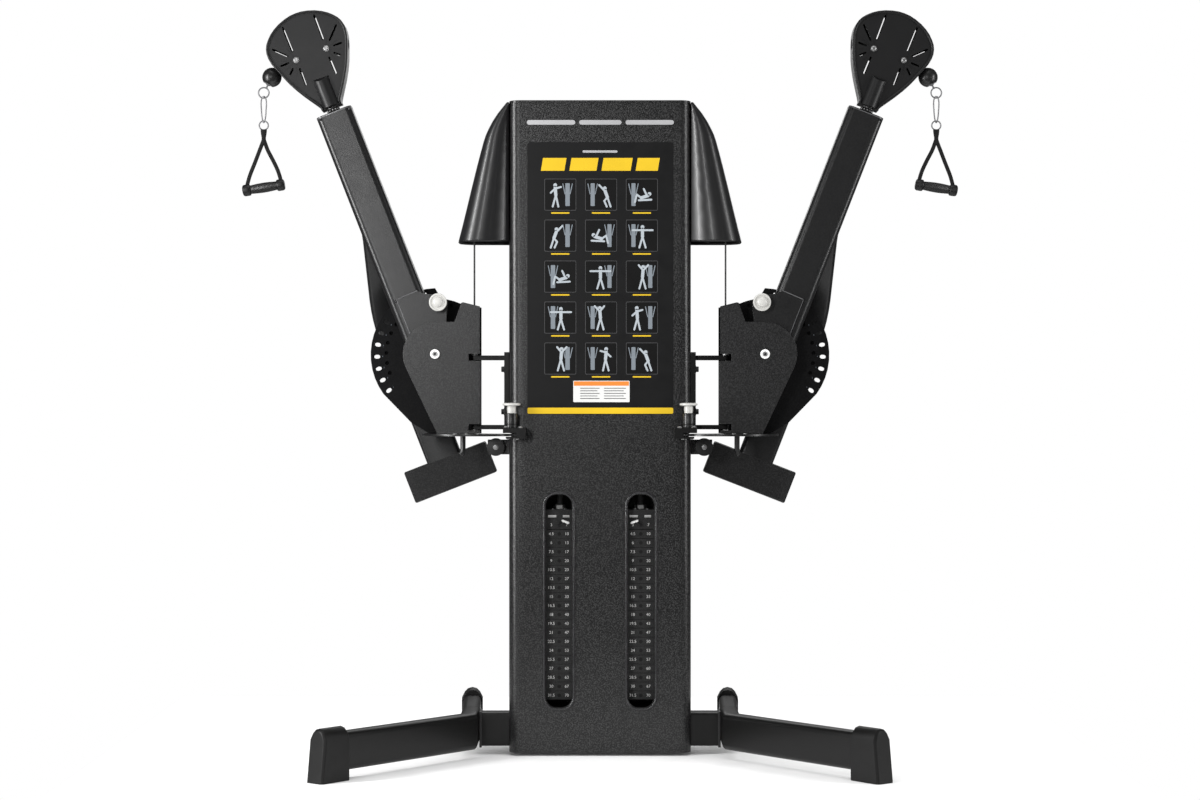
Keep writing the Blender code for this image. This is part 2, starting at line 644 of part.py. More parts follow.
def tilt_pin_angle():
    """Where the tilt pin stands about the pivot once the arm leans."""
    x, z = TILT_PIN
    return atan2(z * cos(LEAN) - x * sin(LEAN), x * cos(LEAN) + z * sin(LEAN))


# ---------------------------------------------------------------- arm: tilts about the pivot


def bar_rings(stations, inset):
    rings = []
    for u, centre, front, back in stations:
        thick = (back - front) / 2 - inset
        ring = rounded(0.0515 - inset, thick, min(0.006, thick - 0.001), 2, (centre, (front + back) / 2))
        rings.append([(x, y, u) for x, y in ring])
    return rings


def arm(side_name, s, frame):
    section = rounded(ARM_HALF_X, ARM_HALF_Y, 0.019, 4, (ARM_X, 0.0))
    body = add(plate(section, "z", -0.035, ARM_TOP), f"arm_tube_{side_name}", "frame_black", s, parent=frame)
    cheek = [(0.045, 0.182), (-0.018, 0.184), (-0.033, 0.170), (-0.060, 0.156), (-0.082, 0.142),
             (-0.084, 0.120), (-0.060, 0.070), (-0.040, 0.030), (-0.030, -0.025), (0.045, -0.025)]
    shape(body, plate(cheek, "y", -0.0455, -0.036), "UNION", s)
    bore = rounded(ARM_HALF_X - 0.005, ARM_HALF_Y - 0.005, 0.014, 3, (ARM_X, 0.0))
    shape(body, plate(bore, "z", -0.05, ARM_TOP - 0.008), "DIFFERENCE", s)
    shape(body, rod((0.0, 0.0), 0.0125, "y", -0.06, 0.06, 16), "DIFFERENCE", s)
    shape(body, rod(TILT_PIN, PIN_R + 0.0004, "y", -0.06, 0.0, 12), "DIFFERENCE", s)
    shape(body, rod((ARM_X, 0.0), 0.0140, "z", ARM_TOP - 0.02, ARM_TOP + 0.01, 16), "DIFFERENCE", s)

    # local y of the sector's front face, less a little, is where the pin's nose waits
    nose = 0.124 - 0.0005 - SWIVEL_Y
    pin_frame = empty(f"tilt_pin_frame_{side_name}", (s * TILT_PIN[0], 0.0, TILT_PIN[1]), frame)
    steps = [(PIN_R, nose), (PIN_R, -0.0455 - 0.0095 - GAP), (0.011, -0.0455 - 0.0095 - GAP), (0.011, -0.078),
             (0.025, -0.078), (0.025, -0.090), (0.022, -0.094), (0.013, -0.094), (0.011, -0.098)]
    rings = [[(x, y, z) for x, z in circle(TILT_PIN, r, 20)] for r, y in steps]
    add(loft(rings), f"tilt_pin_{side_name}", "knob_white", s, (TILT_PIN[0], 0.0, TILT_PIN[1]), pin_frame)

    # u along the arm, centre across, then the front and back faces
    stations = ((-0.365, 0.098, 0.166, 0.214), (0.110, 0.098, 0.166, 0.214), (0.165, 0.093, 0.158, 0.208),
                (0.220, 0.080, 0.132, 0.186), (0.380, 0.030, 0.050, 0.106), (0.410, 0.023, 0.0385, 0.090),
                (0.470, 0.020, 0.0385, 0.052))
    weight = add(loft(bar_rings(stations, 0.0)), f"counterweight_{side_name}", "frame_black", s, parent=frame)
    hollow = [(-0.260, *stations[0][1:]), *stations[1:], (0.480, *stations[-1][1:])]
    shape(weight, loft(bar_rings(hollow, TUBE_WALL)), "DIFFERENCE", s)
    slab = rounded(0.126, 0.048, 0.008, 2, (0.097, -0.326))
    small = rounded(0.120, 0.042, 0.006, 2, (0.097, -0.326))
    face = rounded(0.116, 0.045, 0.006, 2, (0.087, -0.326))
    faces = ((face, 0.166), (slab, 0.184), (slab, 0.256), (small, 0.264))
    shape(weight, loft([[(x, y, z) for x, z in ring] for ring, y in faces]), "UNION", s)


# ---------------------------------------------------------------- head: swivels about the arm


def head_outline(inset, low):
    """The egg-shaped head, drawn in by the inset and cut off below a height."""
    top = HEAD_SHAPE[-2]
    steps = (HEAD_SHAPE[0], *HEAD_SHAPE, (-top[0], top[1]))
    half = []
    for before, (x, z), after in zip(steps, steps[1:], steps[2:]):
        dx, dz = after[0] - before[0], after[1] - before[1]
        reach = hypot(dx, dz)
        half.append((x - inset * dz / reach, z + inset * dx / reach))
    above = [point for point in half if point[1] > low + 1e-6]
    x0, z0 = half[len(half) - len(above) - 1]
    x1, z1 = above[0]
    foot_x = x0 + (x1 - x0) * (low - z0) / (z1 - z0)
    right = [(foot_x, low)] + above
    return [(ARM_X + x, z) for x, z in right] + [(ARM_X - x, z) for x, z in reversed(right[:-1])]


def head_slots():
    """Five slots round each axle, mirrored about the arm."""
    rays = ((0.001, 0.027, 0.002, 0.100), (0.0175, 0.0186, 0.0505, 0.0520), (0.023, 0.0, 0.046, 0.0),
            (0.017, -0.019, 0.0305, -0.032), (-0.001, -0.026, 0.0, -0.0745))
    slots = []
    for m in (-1, 1):
        for x0, z0, x1, z1 in rays:
            start = (ARM_X + m * (AXLE_X + x0), AXLES + z0)
            end = (ARM_X + m * (AXLE_X + x1), AXLES + z1)
            slots.append(plate(capsule(start, end, 0.0028, 2), "y", -0.05, 0.05))
    return slots


def head(side_name, s, frame):
    """Two half shells with a pair of pulleys between them and a seat for the cable stop on each side."""
    origin = (ARM_X, 0.0, NECK)
    outside = head_outline(0.0, NECK)
    inside = head_outline(0.007, NECK + 0.050)
    for name, m in (("head_cover", -1), ("head_frame", 1)):
        faces = sorted((m * GAP / 2, m * HEAD_HALF_Y))
        shell = add(plate(outside, "y", *faces), f"{name}_{side_name}", "moulded_black", s, origin, frame)
        pocket = plate(inside, "y", *sorted((-m * 0.001, m * (HEAD_HALF_Y - 0.005))))
        shape(shell, pocket, "DIFFERENCE", s, origin)
        boss = arc((ARM_X, 0.0), 0.0235, 0, 180 * m, 8)
        boss = [(x, max(y, GAP / 2) if m > 0 else min(y, -GAP / 2)) for x, y in boss]
        half_boss = plate([(x, y * 1.5) for x, y in boss], "z", NECK, NECK + 0.085)
        shape(shell, half_boss, "UNION", s, origin)
        lip = head_outline(0.009, NECK + 0.012)
        depth = sorted((m * (HEAD_HALF_Y - 0.0015), m * 0.06))
        shape(shell, plate(lip, "y", *depth), "DIFFERENCE", s, origin)
        shape(shell, plate([(x, y * 1.45) for x, y in boss], "z", NECK, NECK + 0.080), "UNION", s, origin)
        shape(shell, merged(*head_slots()), "DIFFERENCE", s, origin)
        for k in (-1, 1):
            seat = (ARM_X + k * (STOP_BALL[0] - ARM_X), STOP_BALL[1])
            shape(shell, ball((seat[0], 0.0, seat[1]), BALL_R + 0.0008, 20), "DIFFERENCE", s, origin)
            mouth = capsule(seat, (ARM_X + k * 0.085, 0.9235), 0.0075, 3)
            shape(shell, plate(mouth, "y", -0.0085, 0.0085), "DIFFERENCE", s, origin)
        if m > 0:
            shape(shell, rod((ARM_X, 0.0), 0.0135, "z", ARM_TOP - 0.03, NECK + 0.02, 16), "UNION", s, origin)
            front, back = 0.0054 - HEAD_HALF_Y, HEAD_HALF_Y - 0.003
            pins = [rod((ARM_X + k * AXLE_X, AXLES), 0.0055, "y", front, back, 12)
                    for k in (-1, 1)]
            shape(shell, merged(*pins), "UNION", s, origin)
        else:
            neck_bore = rod((ARM_X, 0.0), 0.0139, "z", NECK - 0.01, NECK + 0.0206, 16)
            shape(shell, neck_bore, "DIFFERENCE", s, origin)
    for name, k in (("inner", -1), ("outer", 1)):
        wheel_frame = empty(f"head_pulley_frame_{name}_{side_name}",
                            (s * k * AXLE_X, 0.0, AXLES - NECK), frame)
        pulley(f"head_pulley_{name}_{side_name}", s, wheel_frame, HEAD_PULLEY_R, 0.010, 0.0058)


# ---------------------------------------------------------------- handle: hangs from the cable stop


def handle(side_name, s, head_frame, clip_frame, grip_frame):
    x, z = STOP_BALL
    stop = add(ball((x, 0.0, z), BALL_R, 14), f"cable_stop_{side_name}", "rubber_black", s,
               (ARM_X, 0.0, NECK), head_frame)
    wrap = arc((ARM_X + AXLE_X, AXLES), HEAD_GROOVE, 59, 180, 8)
    reach = [(x, 0.0, z)] + [(a, 0.0, b) for a, b in wrap] + [(ARM_X + 0.004, 0.0, NECK + 0.095)]
    shape(stop, tube(reach, CABLE_R, 6), "UNION", s, (ARM_X, 0.0, NECK))

    ring_x, ring_z = RING_TOP
    spot = (ring_x, SWIVEL_Y, ring_z)
    top_ring = turned([(0.0130, -0.002), (0.0170, -0.002), (0.0170, 0.002), (0.0130, 0.002)], "y",
                      (ring_x, ring_z), 20)
    clip = add(top_ring, f"snap_hook_{side_name}", "steel_bright", s, (ring_x, 0.0, ring_z), clip_frame)
    body = capsule((ring_x, ring_z - 0.020), (ring_x, ring_z - 0.0715), 0.0085, 4)
    shape(clip, plate(body, "y", -0.0045, 0.0045), "UNION", s, (ring_x, 0.0, ring_z))
    eye = capsule((ring_x, ring_z - 0.024), (ring_x, ring_z - 0.0675), 0.0042, 3)
    shape(clip, plate(eye, "y", -0.01, 0.01), "DIFFERENCE", s, (ring_x, 0.0, ring_z))
    ring = turned([(0.0105, -0.002), (0.0150, -0.002), (0.0150, 0.002), (0.0105, 0.002)], "y",
                  (ring_x, RING_LOW_Z), 20)
    shape(clip, ring, "UNION", s, (ring_x, 0.0, ring_z))

    low = RING_LOW_Z
    neck_z, fork_z, end_z = low - 0.013, low - 0.048, low - 0.150
    half, drop = 0.046, 0.0095
    origin = (ring_x, 0.0, low)
    strap = add(tube([(ring_x, 0.0, neck_z - GAP - 0.004), (ring_x, 0.0, fork_z)], 0.0085, 8, 0.6),
                f"handle_strap_{side_name}", "webbing_black", s, origin, grip_frame)
    for k in (-1, 1):
        run = [(ring_x, 0.0, fork_z + 0.006), (ring_x + k * 0.010, 0.0, fork_z - 0.012),
               (ring_x + k * half, 0.0, end_z - k * drop)]
        shape(strap, tube(run, 0.0070, 8, 0.5), "UNION", s, origin)
    ends = [Vector((ring_x + k * (half + 0.014), 0.0, end_z - 0.026 - k * drop)) for k in (-1, 1)]
    along = (ends[1] - ends[0]).normalized()
    stations = ((0.0, 0.0130), (0.003, 0.0165), (0.010, 0.0165), (0.012, 0.0150))
    total = (ends[1] - ends[0]).length
    spots = [(t, r) for t, r in stations] + [(total - t, r) for t, r in reversed(stations)]
    rings = []
    for t, r in spots:
        centre = ends[0] + along * t
        up = Vector((-along.z, 0.0, along.x))
        rings.append([centre + Vector((0.0, r * cos(a), 0.0)) + up * r * sin(a)
                      for a in (2 * pi * i / 16 for i in range(16))])
    add(loft(rings), f"handle_grip_{side_name}", "rubber_black", s, origin, grip_frame)


# ---------------------------------------------------------------- assembly

base_bar()
front_cover()
back_cover()
tower_frame()

for side_name, s in SIDES:
    base(side_name, s)
    shroud(side_name, s)
    stacks(side_name, s)
    top_pulleys(side_name, s)
    cable(side_name, s)
    bracket(side_name, s)
    swivel = empty(f"carrier_{side_name}", (s * SWIVEL_X, SWIVEL_Y, PIVOT_Z))
    carrier(side_name, s, swivel)
    tilt = empty(f"arm_{side_name}", (s * (PIVOT_X - SWIVEL_X), 0.0, 0.0), swivel, (0.0, s * LEAN, 0.0))
    arm(side_name, s, tilt)
    neck = empty(f"head_{side_name}", (s * ARM_X, 0.0, NECK), tilt)
    head(side_name, s, neck)
    clip = empty(f"clip_{side_name}", (s * RING_TOP[0], SWIVEL_Y, RING_TOP[1]))
    grip = empty(f"grip_{side_name}", (0.0, 0.0, RING_LOW_Z - RING_TOP[1]), clip)
    handle(side_name, s, neck, clip, grip)
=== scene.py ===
"""Looks of the cable crossover machine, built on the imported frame. Metres, +Z up, user on the -Y side."""
import json
from math import atan2, cos, degrees, hypot, pi, radians, sin

import bmesh
import bpy
from mathutils import Matrix, Vector


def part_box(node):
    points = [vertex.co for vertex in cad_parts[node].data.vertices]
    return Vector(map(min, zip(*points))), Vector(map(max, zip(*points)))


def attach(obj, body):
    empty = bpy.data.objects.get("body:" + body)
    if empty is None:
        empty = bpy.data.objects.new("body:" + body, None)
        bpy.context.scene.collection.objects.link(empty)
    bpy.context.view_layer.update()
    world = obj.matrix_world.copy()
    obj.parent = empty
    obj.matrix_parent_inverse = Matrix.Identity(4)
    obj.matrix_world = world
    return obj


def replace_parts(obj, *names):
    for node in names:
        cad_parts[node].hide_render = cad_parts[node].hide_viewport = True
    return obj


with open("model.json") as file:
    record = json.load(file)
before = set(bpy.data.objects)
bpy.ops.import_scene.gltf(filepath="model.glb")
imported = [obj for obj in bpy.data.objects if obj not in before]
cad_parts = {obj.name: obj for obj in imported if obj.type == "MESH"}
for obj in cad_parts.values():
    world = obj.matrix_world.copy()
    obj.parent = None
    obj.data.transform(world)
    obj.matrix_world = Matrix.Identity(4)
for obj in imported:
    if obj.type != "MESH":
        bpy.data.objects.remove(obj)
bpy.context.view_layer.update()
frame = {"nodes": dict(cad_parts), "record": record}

SIDES = (("left", -1), ("right", 1))

# repeated from the CAD
TOWER_HALF, TOWER_TOP, TOWER_FRONT, TOWER_BACK = 0.256, 1.842, 0.020, 0.230
STACK_X, STACK_Y, STACK_FOOT, PLATE, PLATES = 0.1155, 0.130, 0.151, 0.0254, 20
WINDOW_HALF, WINDOW_Z = 0.040, (0.133, 0.737)
SWIVEL_X, SWIVEL_Y = 0.3555, 0.080
PIVOT_X, PIVOT_Z, LEAN = 0.4635, 1.129, radians(21.3)
ARM_X, ARM_HALF_X, ARM_HALF_Y, ARM_TOP = 0.020, 0.052, 0.038, 0.742
SWING_PIN = (0.2477, -0.006)
TILT_PIN, TILT_STEP = (-0.062, 0.131), radians(11.5)
CARRIER_BACK, INDEX_TOP = 0.1300, 0.9050
NECK, AXLES, AXLE_X, HEAD_FACE = 0.757, 0.9155, 0.0455, 0.0285
STOP_BALL = (0.1484, 0.900)
HEAD_SHAPE = ((0.0300, 0.757), (0.0305, 0.766), (0.0385, 0.779), (0.0505, 0.797), (0.0655, 0.820),
              (0.0800, 0.845), (0.0910, 0.867), (0.0990, 0.887), (0.1062, 0.905), (0.1105, 0.917),
              (0.1145, 0.930), (0.1172, 0.946), (0.1172, 0.960), (0.1140, 0.974), (0.1080, 0.986),
              (0.0990, 0.997), (0.0870, 1.0085), (0.0720, 1.0190), (0.0540, 1.0280), (0.0350, 1.0345),
              (0.0170, 1.0385), (0.0, 1.0395))
RING_TOP, RING_LOW_Z = (0.9521, 1.8697), 1.7773
ROLLER = (0.2946, 0.867)
SLAB_MIDDLE, FIRST_HOLE = -0.326, radians(-36.4)
GRIP_HALF, GRIP_SLANT = 0.060, 0.0095
# the placard's tiles: middle of the first, pitch, half width
TILE_FIRST, TILE_PITCH, TILE_HALF = (-0.1115, 1.5765), (0.1145, 0.1150), 0.0445


# ---------------------------------------------------------------- camera, floor and light


def look_from(place, target, lens):
    data = bpy.data.cameras.new("camera")
    data.lens = lens
    data.sensor_width = 36.0
    data.clip_end = 60.0
    camera = bpy.data.objects.new("camera", data)
    camera.location = place
    camera.rotation_euler = (Vector(target) - Vector(place)).to_track_quat("-Z", "Y").to_euler()
    bpy.context.scene.collection.objects.link(camera)
    bpy.context.scene.camera = camera


def softbox(name, place, target, size, power):
    data = bpy.data.lights.new(name, "AREA")
    data.shape = "RECTANGLE"
    data.size, data.size_y = size
    data.energy = power
    light = bpy.data.objects.new(name, data)
    light.location = place
    light.rotation_euler = (Vector(target) - Vector(place)).to_track_quat("-Z", "Y").to_euler()
    bpy.context.scene.collection.objects.link(light)


def studio():
    look_from((0.0, -6.98, 1.0), (0.0, 0.0, 1.0), 74.8)
    softbox("key_front", (-1.75, -6.4, 1.9), (-0.2, 0.0, 1.2), (0.6, 1.4), 74.0)
    softbox("fill_right", (2.7, -6.2, 1.6), (0.2, 0.0, 1.1), (0.5, 2.2), 4.0)
    softbox("strip_left", (-3.3, -1.75, 1.6), (-0.3, 0.0, 1.3), (0.36, 2.4), 142.0)
    softbox("strip_right", (3.4, -1.2, 1.6), (0.3, 0.0, 1.3), (0.36, 2.4), 48.0)
    softbox("box_top", (0.0, -0.6, 4.4), (0.0, 0.0, 0.6), (3.2, 2.0), 40.0)
    softbox("box_back", (0.6, 4.2, 3.0), (0.0, 0.0, 1.0), (3.4, 2.2), 40.0)
    world = bpy.data.worlds.new("studio")
    bpy.context.scene.world = world
    world.use_nodes = True
    tree = world.node_tree
    back = tree.nodes["Background"]
    back.inputs["Color"].default_value = (1.0, 1.0, 1.0, 1.0)
    back.inputs["Strength"].default_value = 1.0
    fill = tree.nodes.new("ShaderNodeBackground")
    fill.inputs["Color"].default_value = (1.0, 1.0, 1.0, 1.0)
    fill.inputs["Strength"].default_value = 0.10
    seen = tree.nodes.new("ShaderNodeLightPath")
    mix = tree.nodes.new("ShaderNodeMixShader")
    tree.links.new(seen.outputs["Is Glossy Ray"], mix.inputs[0])
    tree.links.new(back.outputs[0], mix.inputs[1])
    tree.links.new(fill.outputs[0], mix.inputs[2])
    tree.links.new(mix.outputs[0], tree.nodes["World Output"].inputs["Surface"])
    bpy.context.scene.view_settings.view_transform = "Standard"
    mesh = bpy.data.meshes.new("floor")
    reach = 1.4
    mesh.from_pydata([(-reach, -reach, 0), (reach, -reach, 0), (reach, reach, 0), (-reach, reach, 0)],
                     [], [(0, 1, 2, 3)])
    floor = bpy.data.objects.new("floor", mesh)
    floor.data.materials.append(surface("floor_white", (0.80, 0.80, 0.80), 0.9, mottle=0.01, specular=0.0,
                                        glow=0.03))
    bpy.context.scene.collection.objects.link(floor)


# ---------------------------------------------------------------- materials


MOTTLE_SCALE = 9.0  # patches about 0.1 m wide
WAVE = 0.314  # pitch of the wave texture at a scale of one


def surface(name, colour, rough, metal=0.0, grain=None, mottle=0.05, rough_spread=0.06, coat=0.0, fleck=0.0,
            sheen=0.0, weave=None, specular=0.5, glow=0.0):
    """A procedural finish in object space: grain bump, colour mottle, roughness spread, flecks or a weave."""
    material = bpy.data.materials.new(name)
    material.use_nodes = True
    tree = material.node_tree
    shader = tree.nodes["Principled BSDF"]
    shader.inputs["Metallic"].default_value = metal
    shader.inputs["Coat Weight"].default_value = coat
    shader.inputs["Coat Roughness"].default_value = 0.08
    shader.inputs["Sheen Weight"].default_value = sheen
    shader.inputs["Specular IOR Level"].default_value = specular
    shader.inputs["Emission Color"].default_value = (1.0, 1.0, 1.0, 1.0)
    shader.inputs["Emission Strength"].default_value = glow
    where = tree.nodes.new("ShaderNodeTexCoord").outputs["Object"]

    def noise(scale, detail=2.0):
        node = tree.nodes.new("ShaderNodeTexNoise")
        node.inputs["Scale"].default_value = scale
        node.inputs["Detail"].default_value = detail
        tree.links.new(where, node.inputs["Vector"])
        return node.outputs["Fac"]

    def ranged(value, low, high, start=0.3, stop=0.7):
        node = tree.nodes.new("ShaderNodeMapRange")
        node.inputs["From Min"].default_value = start
        node.inputs["From Max"].default_value = stop
        node.inputs["To Min"].default_value = low
        node.inputs["To Max"].default_value = high
        tree.links.new(value, node.inputs["Value"])
        return node.outputs["Result"]

    def mixed(factor, first, second):
        node = tree.nodes.new("ShaderNodeMix")
        node.data_type = "RGBA"
        tree.links.new(factor, node.inputs["Factor"])
        for socket, value in ((node.inputs["A"], first), (node.inputs["B"], second)):
            if isinstance(value, tuple):
                socket.default_value = (*value, 1.0)
            else:
                tree.links.new(value, socket)
        return node.outputs["Result"]

    spread = max(mottle, 0.03)
    dark = tuple(c * (1 - spread) for c in colour)
    light = tuple(min(1.0, c * (1 + spread)) for c in colour)
    tone = mixed(ranged(noise(MOTTLE_SCALE, 4.0), 0.0, 1.0), dark, light)
    if fleck:
        spot = ranged(noise(grain[0], 1.0), 0.0, 1.0, 0.46, 0.62)
        bright = tuple(min(1.0, c + fleck) for c in colour)
        tone = mixed(spot, tone, bright)
    height = None
    if weave:
        pitch, strength = weave
        bands = []
        for direction in ("X", "Z"):
            node = tree.nodes.new("ShaderNodeTexWave")
            node.bands_direction = direction
            node.inputs["Scale"].default_value = WAVE / pitch
            tree.links.new(where, node.inputs["Vector"])
            bands.append(node.outputs["Fac"])
        product = tree.nodes.new("ShaderNodeMath")
        product.operation = "MAXIMUM"
        tree.links.new(bands[0], product.inputs[0])
        tree.links.new(bands[1], product.inputs[1])
        height = product.outputs[0]
        # the weave's low grooves are painted darker: painted shade between the threads
        tone = mixed(ranged(height, 0.0, 1.0, 0.2, 1.0), tuple(c * 0.45 for c in colour), tone)
        bump_strength, distance = strength, pitch * 0.4
    elif grain:
        scale, bump_strength, distance = grain
        height = noise(scale, 3.0)
    tree.links.new(tone, shader.inputs["Base Color"])
    tree.links.new(ranged(noise(MOTTLE_SCALE * 3.1, 3.0), rough - rough_spread, rough + rough_spread),
                   shader.inputs["Roughness"])
    if height is not None:
        bump = tree.nodes.new("ShaderNodeBump")
        bump.inputs["Strength"].default_value = bump_strength
        bump.inputs["Distance"].default_value = distance
        tree.links.new(height, bump.inputs["Height"])
        tree.links.new(bump.outputs["Normal"], shader.inputs["Normal"])
    return material


FINISH = {
    "cover_black": surface("cover_black", (0.0026, 0.0026, 0.0028), 0.30, grain=(290.0, 0.45, 0.0012),
                           fleck=0.023, rough_spread=0.012, specular=0.42),
    "frame_black": surface("frame_black", (0.0045, 0.0045, 0.0048), 0.33, grain=(360.0, 0.28, 0.0006),
                           fleck=0.004, rough_spread=0.010),
    "plate_grey": surface("plate_grey", (0.0050, 0.0050, 0.0053), 0.34, grain=(290.0, 0.40, 0.0009),
                          fleck=0.010, rough_spread=0.012),
    "shroud_black": surface("shroud_black", (0.007, 0.007, 0.0075), 0.35, grain=(24.0, 0.05, 0.002),
                            mottle=0.06, rough_spread=0.02, coat=0.05),
    "stack_black": surface("stack_black", (0.014, 0.014, 0.014), 0.60, grain=(340.0, 0.6, 0.0010),
                           mottle=0.12, fleck=0.014),
    "rubber_black": surface("rubber_black", (0.006, 0.006, 0.006), 0.36, grain=(900.0, 0.20, 0.0004),
                            mottle=0.10),
    "steel_bright": surface("steel_bright", (0.17, 0.17, 0.175), 0.42, metal=0.55, grain=(60.0, 0.04, 0.0004),
                            rough_spread=0.05),
    "knob_white": surface("knob_white", (0.47, 0.465, 0.445), 0.36, metal=0.1, grain=(300.0, 0.08, 0.0003)),
    "moulded_black": surface("moulded_black", (0.0055, 0.0055, 0.0058), 0.42, grain=(900.0, 0.22, 0.0003),
                             rough_spread=0.02, specular=0.36),
    "webbing_black": surface("webbing_black", (0.007, 0.007, 0.007), 0.80, weave=(0.0012, 0.15), mottle=0.08,
                             sheen=0.04, specular=0.2),
    "cable_black": surface("cable_black", (0.013, 0.013, 0.013), 0.42, grain=(1500.0, 0.3, 0.0004),
                           mottle=0.1),
}
PANEL = surface("panel_black", (0.0050, 0.0050, 0.0053), 0.37, grain=(260.0, 0.06, 0.0005), specular=0.20)
TILE = surface("tile_black", (0.0035, 0.0035, 0.0035), 0.40, specular=0.16)
# darker, flatter copy of plate_grey for the tilt sector and the band behind its pin holes: painted shade, as
# they sit back in shadow
SECTOR_SHADE_BLACK = surface("sector_painted_shade", (0.003, 0.003, 0.0033), 0.62, grain=(360.0, 0.40, 0.0008), mottle=0.10,
                 fleck=0.002, specular=0.10)
SLAB = surface("slab_black", (0.0050, 0.0050, 0.0053), 0.55, grain=(340.0, 0.50, 0.0009), mottle=0.06,
               fleck=0.009, specular=0.28)
LEG = surface("leg_black", (0.0034, 0.0033, 0.0033), 0.36, grain=(360.0, 0.28, 0.0006),
              rough_spread=0.010, specular=0.26)
FOOT = surface("foot_black", (0.0040, 0.0039, 0.0039), 0.45, grain=(900.0, 0.20, 0.0004), mottle=0.10,
               specular=0.24)
TILE_EDGE = surface("tile_edge", (0.045, 0.045, 0.047), 0.45, mottle=0.10)
FIGURE = surface("figure_grey", (0.31, 0.34, 0.365), 0.5, mottle=0.06, specular=0.15)
FIGURE_DARK = surface("figure_dark", (0.15, 0.17, 0.19), 0.5, mottle=0.06, specular=0.15)
YELLOW = surface("print_yellow", (0.54, 0.355, 0.012), 0.45, specular=0.15)
ORANGE = surface("print_orange", (0.60, 0.18, 0.03), 0.5, specular=0.15)
PAPER = surface("print_white", (0.56, 0.56, 0.55), 0.5, mottle=0.04, specular=0.15)
SILVER = surface("print_silver", (0.40, 0.40, 0.41), 0.35, metal=0.4)
BOLT = surface("bolt_black", (0.030, 0.030, 0.031), 0.30, metal=0.6, grain=(800.0, 0.15, 0.0003), mottle=0.15)
ZINC = surface("bolt_zinc", (0.34, 0.34, 0.34), 0.40, metal=0.85, grain=(500.0, 0.12, 0.0003), mottle=0.10)
# grey seam lines on the arm: the seams are real, their light grey is a painted highlight along the edges
SEAM_HIGHLIGHT_GREY = surface("seam_painted_highlight", (0.16, 0.16, 0.165), 0.34, metal=0.5, grain=(300.0, 0.2, 0.0003), mottle=0.2)
TRIM = surface("trim_black", (0.016, 0.016, 0.017), 0.24, grain=(180.0, 0.05, 0.0004), mottle=0.08)
# matte black: painted shade in the window wells, plate holes and back vents, and the plain colour of the grip
# plugs
SHADE_AND_PLUG_BLACK = surface("painted_shade_and_plug_black", (0.004, 0.004, 0.004), 0.7, mottle=0.2)
NUMBER = surface("number_white", (0.78, 0.78, 0.77), 0.5, mottle=0.06)
# the selector grip glows a little though it is no lamp: painted light lifting it out of the window's shade
GRIP_GLOW_WHITE = surface("selector_white_painted_glow", (0.86, 0.86, 0.84), 0.40, mottle=0.04, specular=0.3, glow=0.12)


# ---------------------------------------------------------------- mesh tools


def standing(x, y, z):
    return Vector((x, y, z))


def leaned(x, y, z):
    """A point of the arm, drawn upright about its pivot, where it stands at rest."""
    return Vector((PIVOT_X + x * cos(LEAN) + z * sin(LEAN), SWIVEL_Y + y,
                   PIVOT_Z + z * cos(LEAN) - x * sin(LEAN)))


def arc(centre, radius, start, stop, steps):
    turn = [radians(start + (stop - start) * i / steps) for i in range(steps + 1)]
    return [(centre[0] + radius * cos(a), centre[1] + radius * sin(a)) for a in turn]


def circle(centre, radius, steps=24):
    return arc(centre, radius, 0, 360, steps)[:-1]


def rounded(half_a, half_b, radius, steps=4, centre=(0.0, 0.0)):
    points = []
    for a, b, start in ((1, 1, 0), (-1, 1, 90), (-1, -1, 180), (1, -1, 270)):
        corner = (centre[0] + a * (half_a - radius), centre[1] + b * (half_b - radius))
        points += arc(corner, radius, start, start + 90, steps)
    return points


def smoothed(line, steps=3):
    """A smooth curve through flat points."""
    points = []
    for i in range(len(line) - 1):
        corners = line[max(i - 1, 0)], line[i], line[i + 1], line[min(i + 2, len(line) - 1)]
        for t in (j / steps for j in range(steps)):
            points.append(tuple(0.5 * (2 * b + (c - a) * t + (2 * a - 5 * b + 4 * c - d) * t * t
                                       + (3 * b - a - 3 * c + d) * t ** 3) for a, b, c, d in zip(*corners)))
    return points + [line[-1]]


def capsule(start, end, half, steps=6):
    heading = degrees(atan2(end[1] - start[1], end[0] - start[0]))
    tip = arc(end, half, heading - 90, heading + 90, steps)
    return tip + arc(start, half, heading + 90, heading + 270, steps)


def at_height(point, axis, h):
    a, b = point
    return {"x": (h, a, b), "y": (a, h, b), "z": (a, b, h)}[axis]


def loft(bm, rings, caps=True):
    """A skin through equal rings of points."""
    loops = [[bm.verts.new(p) for p in ring] for ring in rings]
    count = len(loops[0])
    for near, far in zip(loops, loops[1:]):
        for i in range(count):
            k = (i + 1) % count
            bm.faces.new((near[i], near[k], far[k], far[i]))
    if caps:
        bm.faces.new(loops[0][::-1])
        bm.faces.new(loops[-1])


def plate(bm, outline, axis, low, high):
    flip = axis == "y"
    points = outline[::-1] if flip else outline
    loft(bm, [[at_height(p, axis, low) for p in points], [at_height(p, axis, high) for p in points]])


TIP = 1e-5  # the least radius of a ring of points


def lathe(bm, profile, axis, centre, steps=32):
    """A solid turned about an axis from (radius, height) points. Radius 0 at an end closes it in a point."""
    spun = []
    for r, h in profile:
        spun.append([at_height((centre[0] + max(r, TIP) * cos(2 * pi * i / steps),
                                centre[1] + max(r, TIP) * sin(2 * pi * i / steps)), axis, h)
                     for i in range(steps)])
    if (profile[-1][1] < profile[0][1]) != (axis == "y"):
        spun = spun[::-1]
    loft(bm, spun)


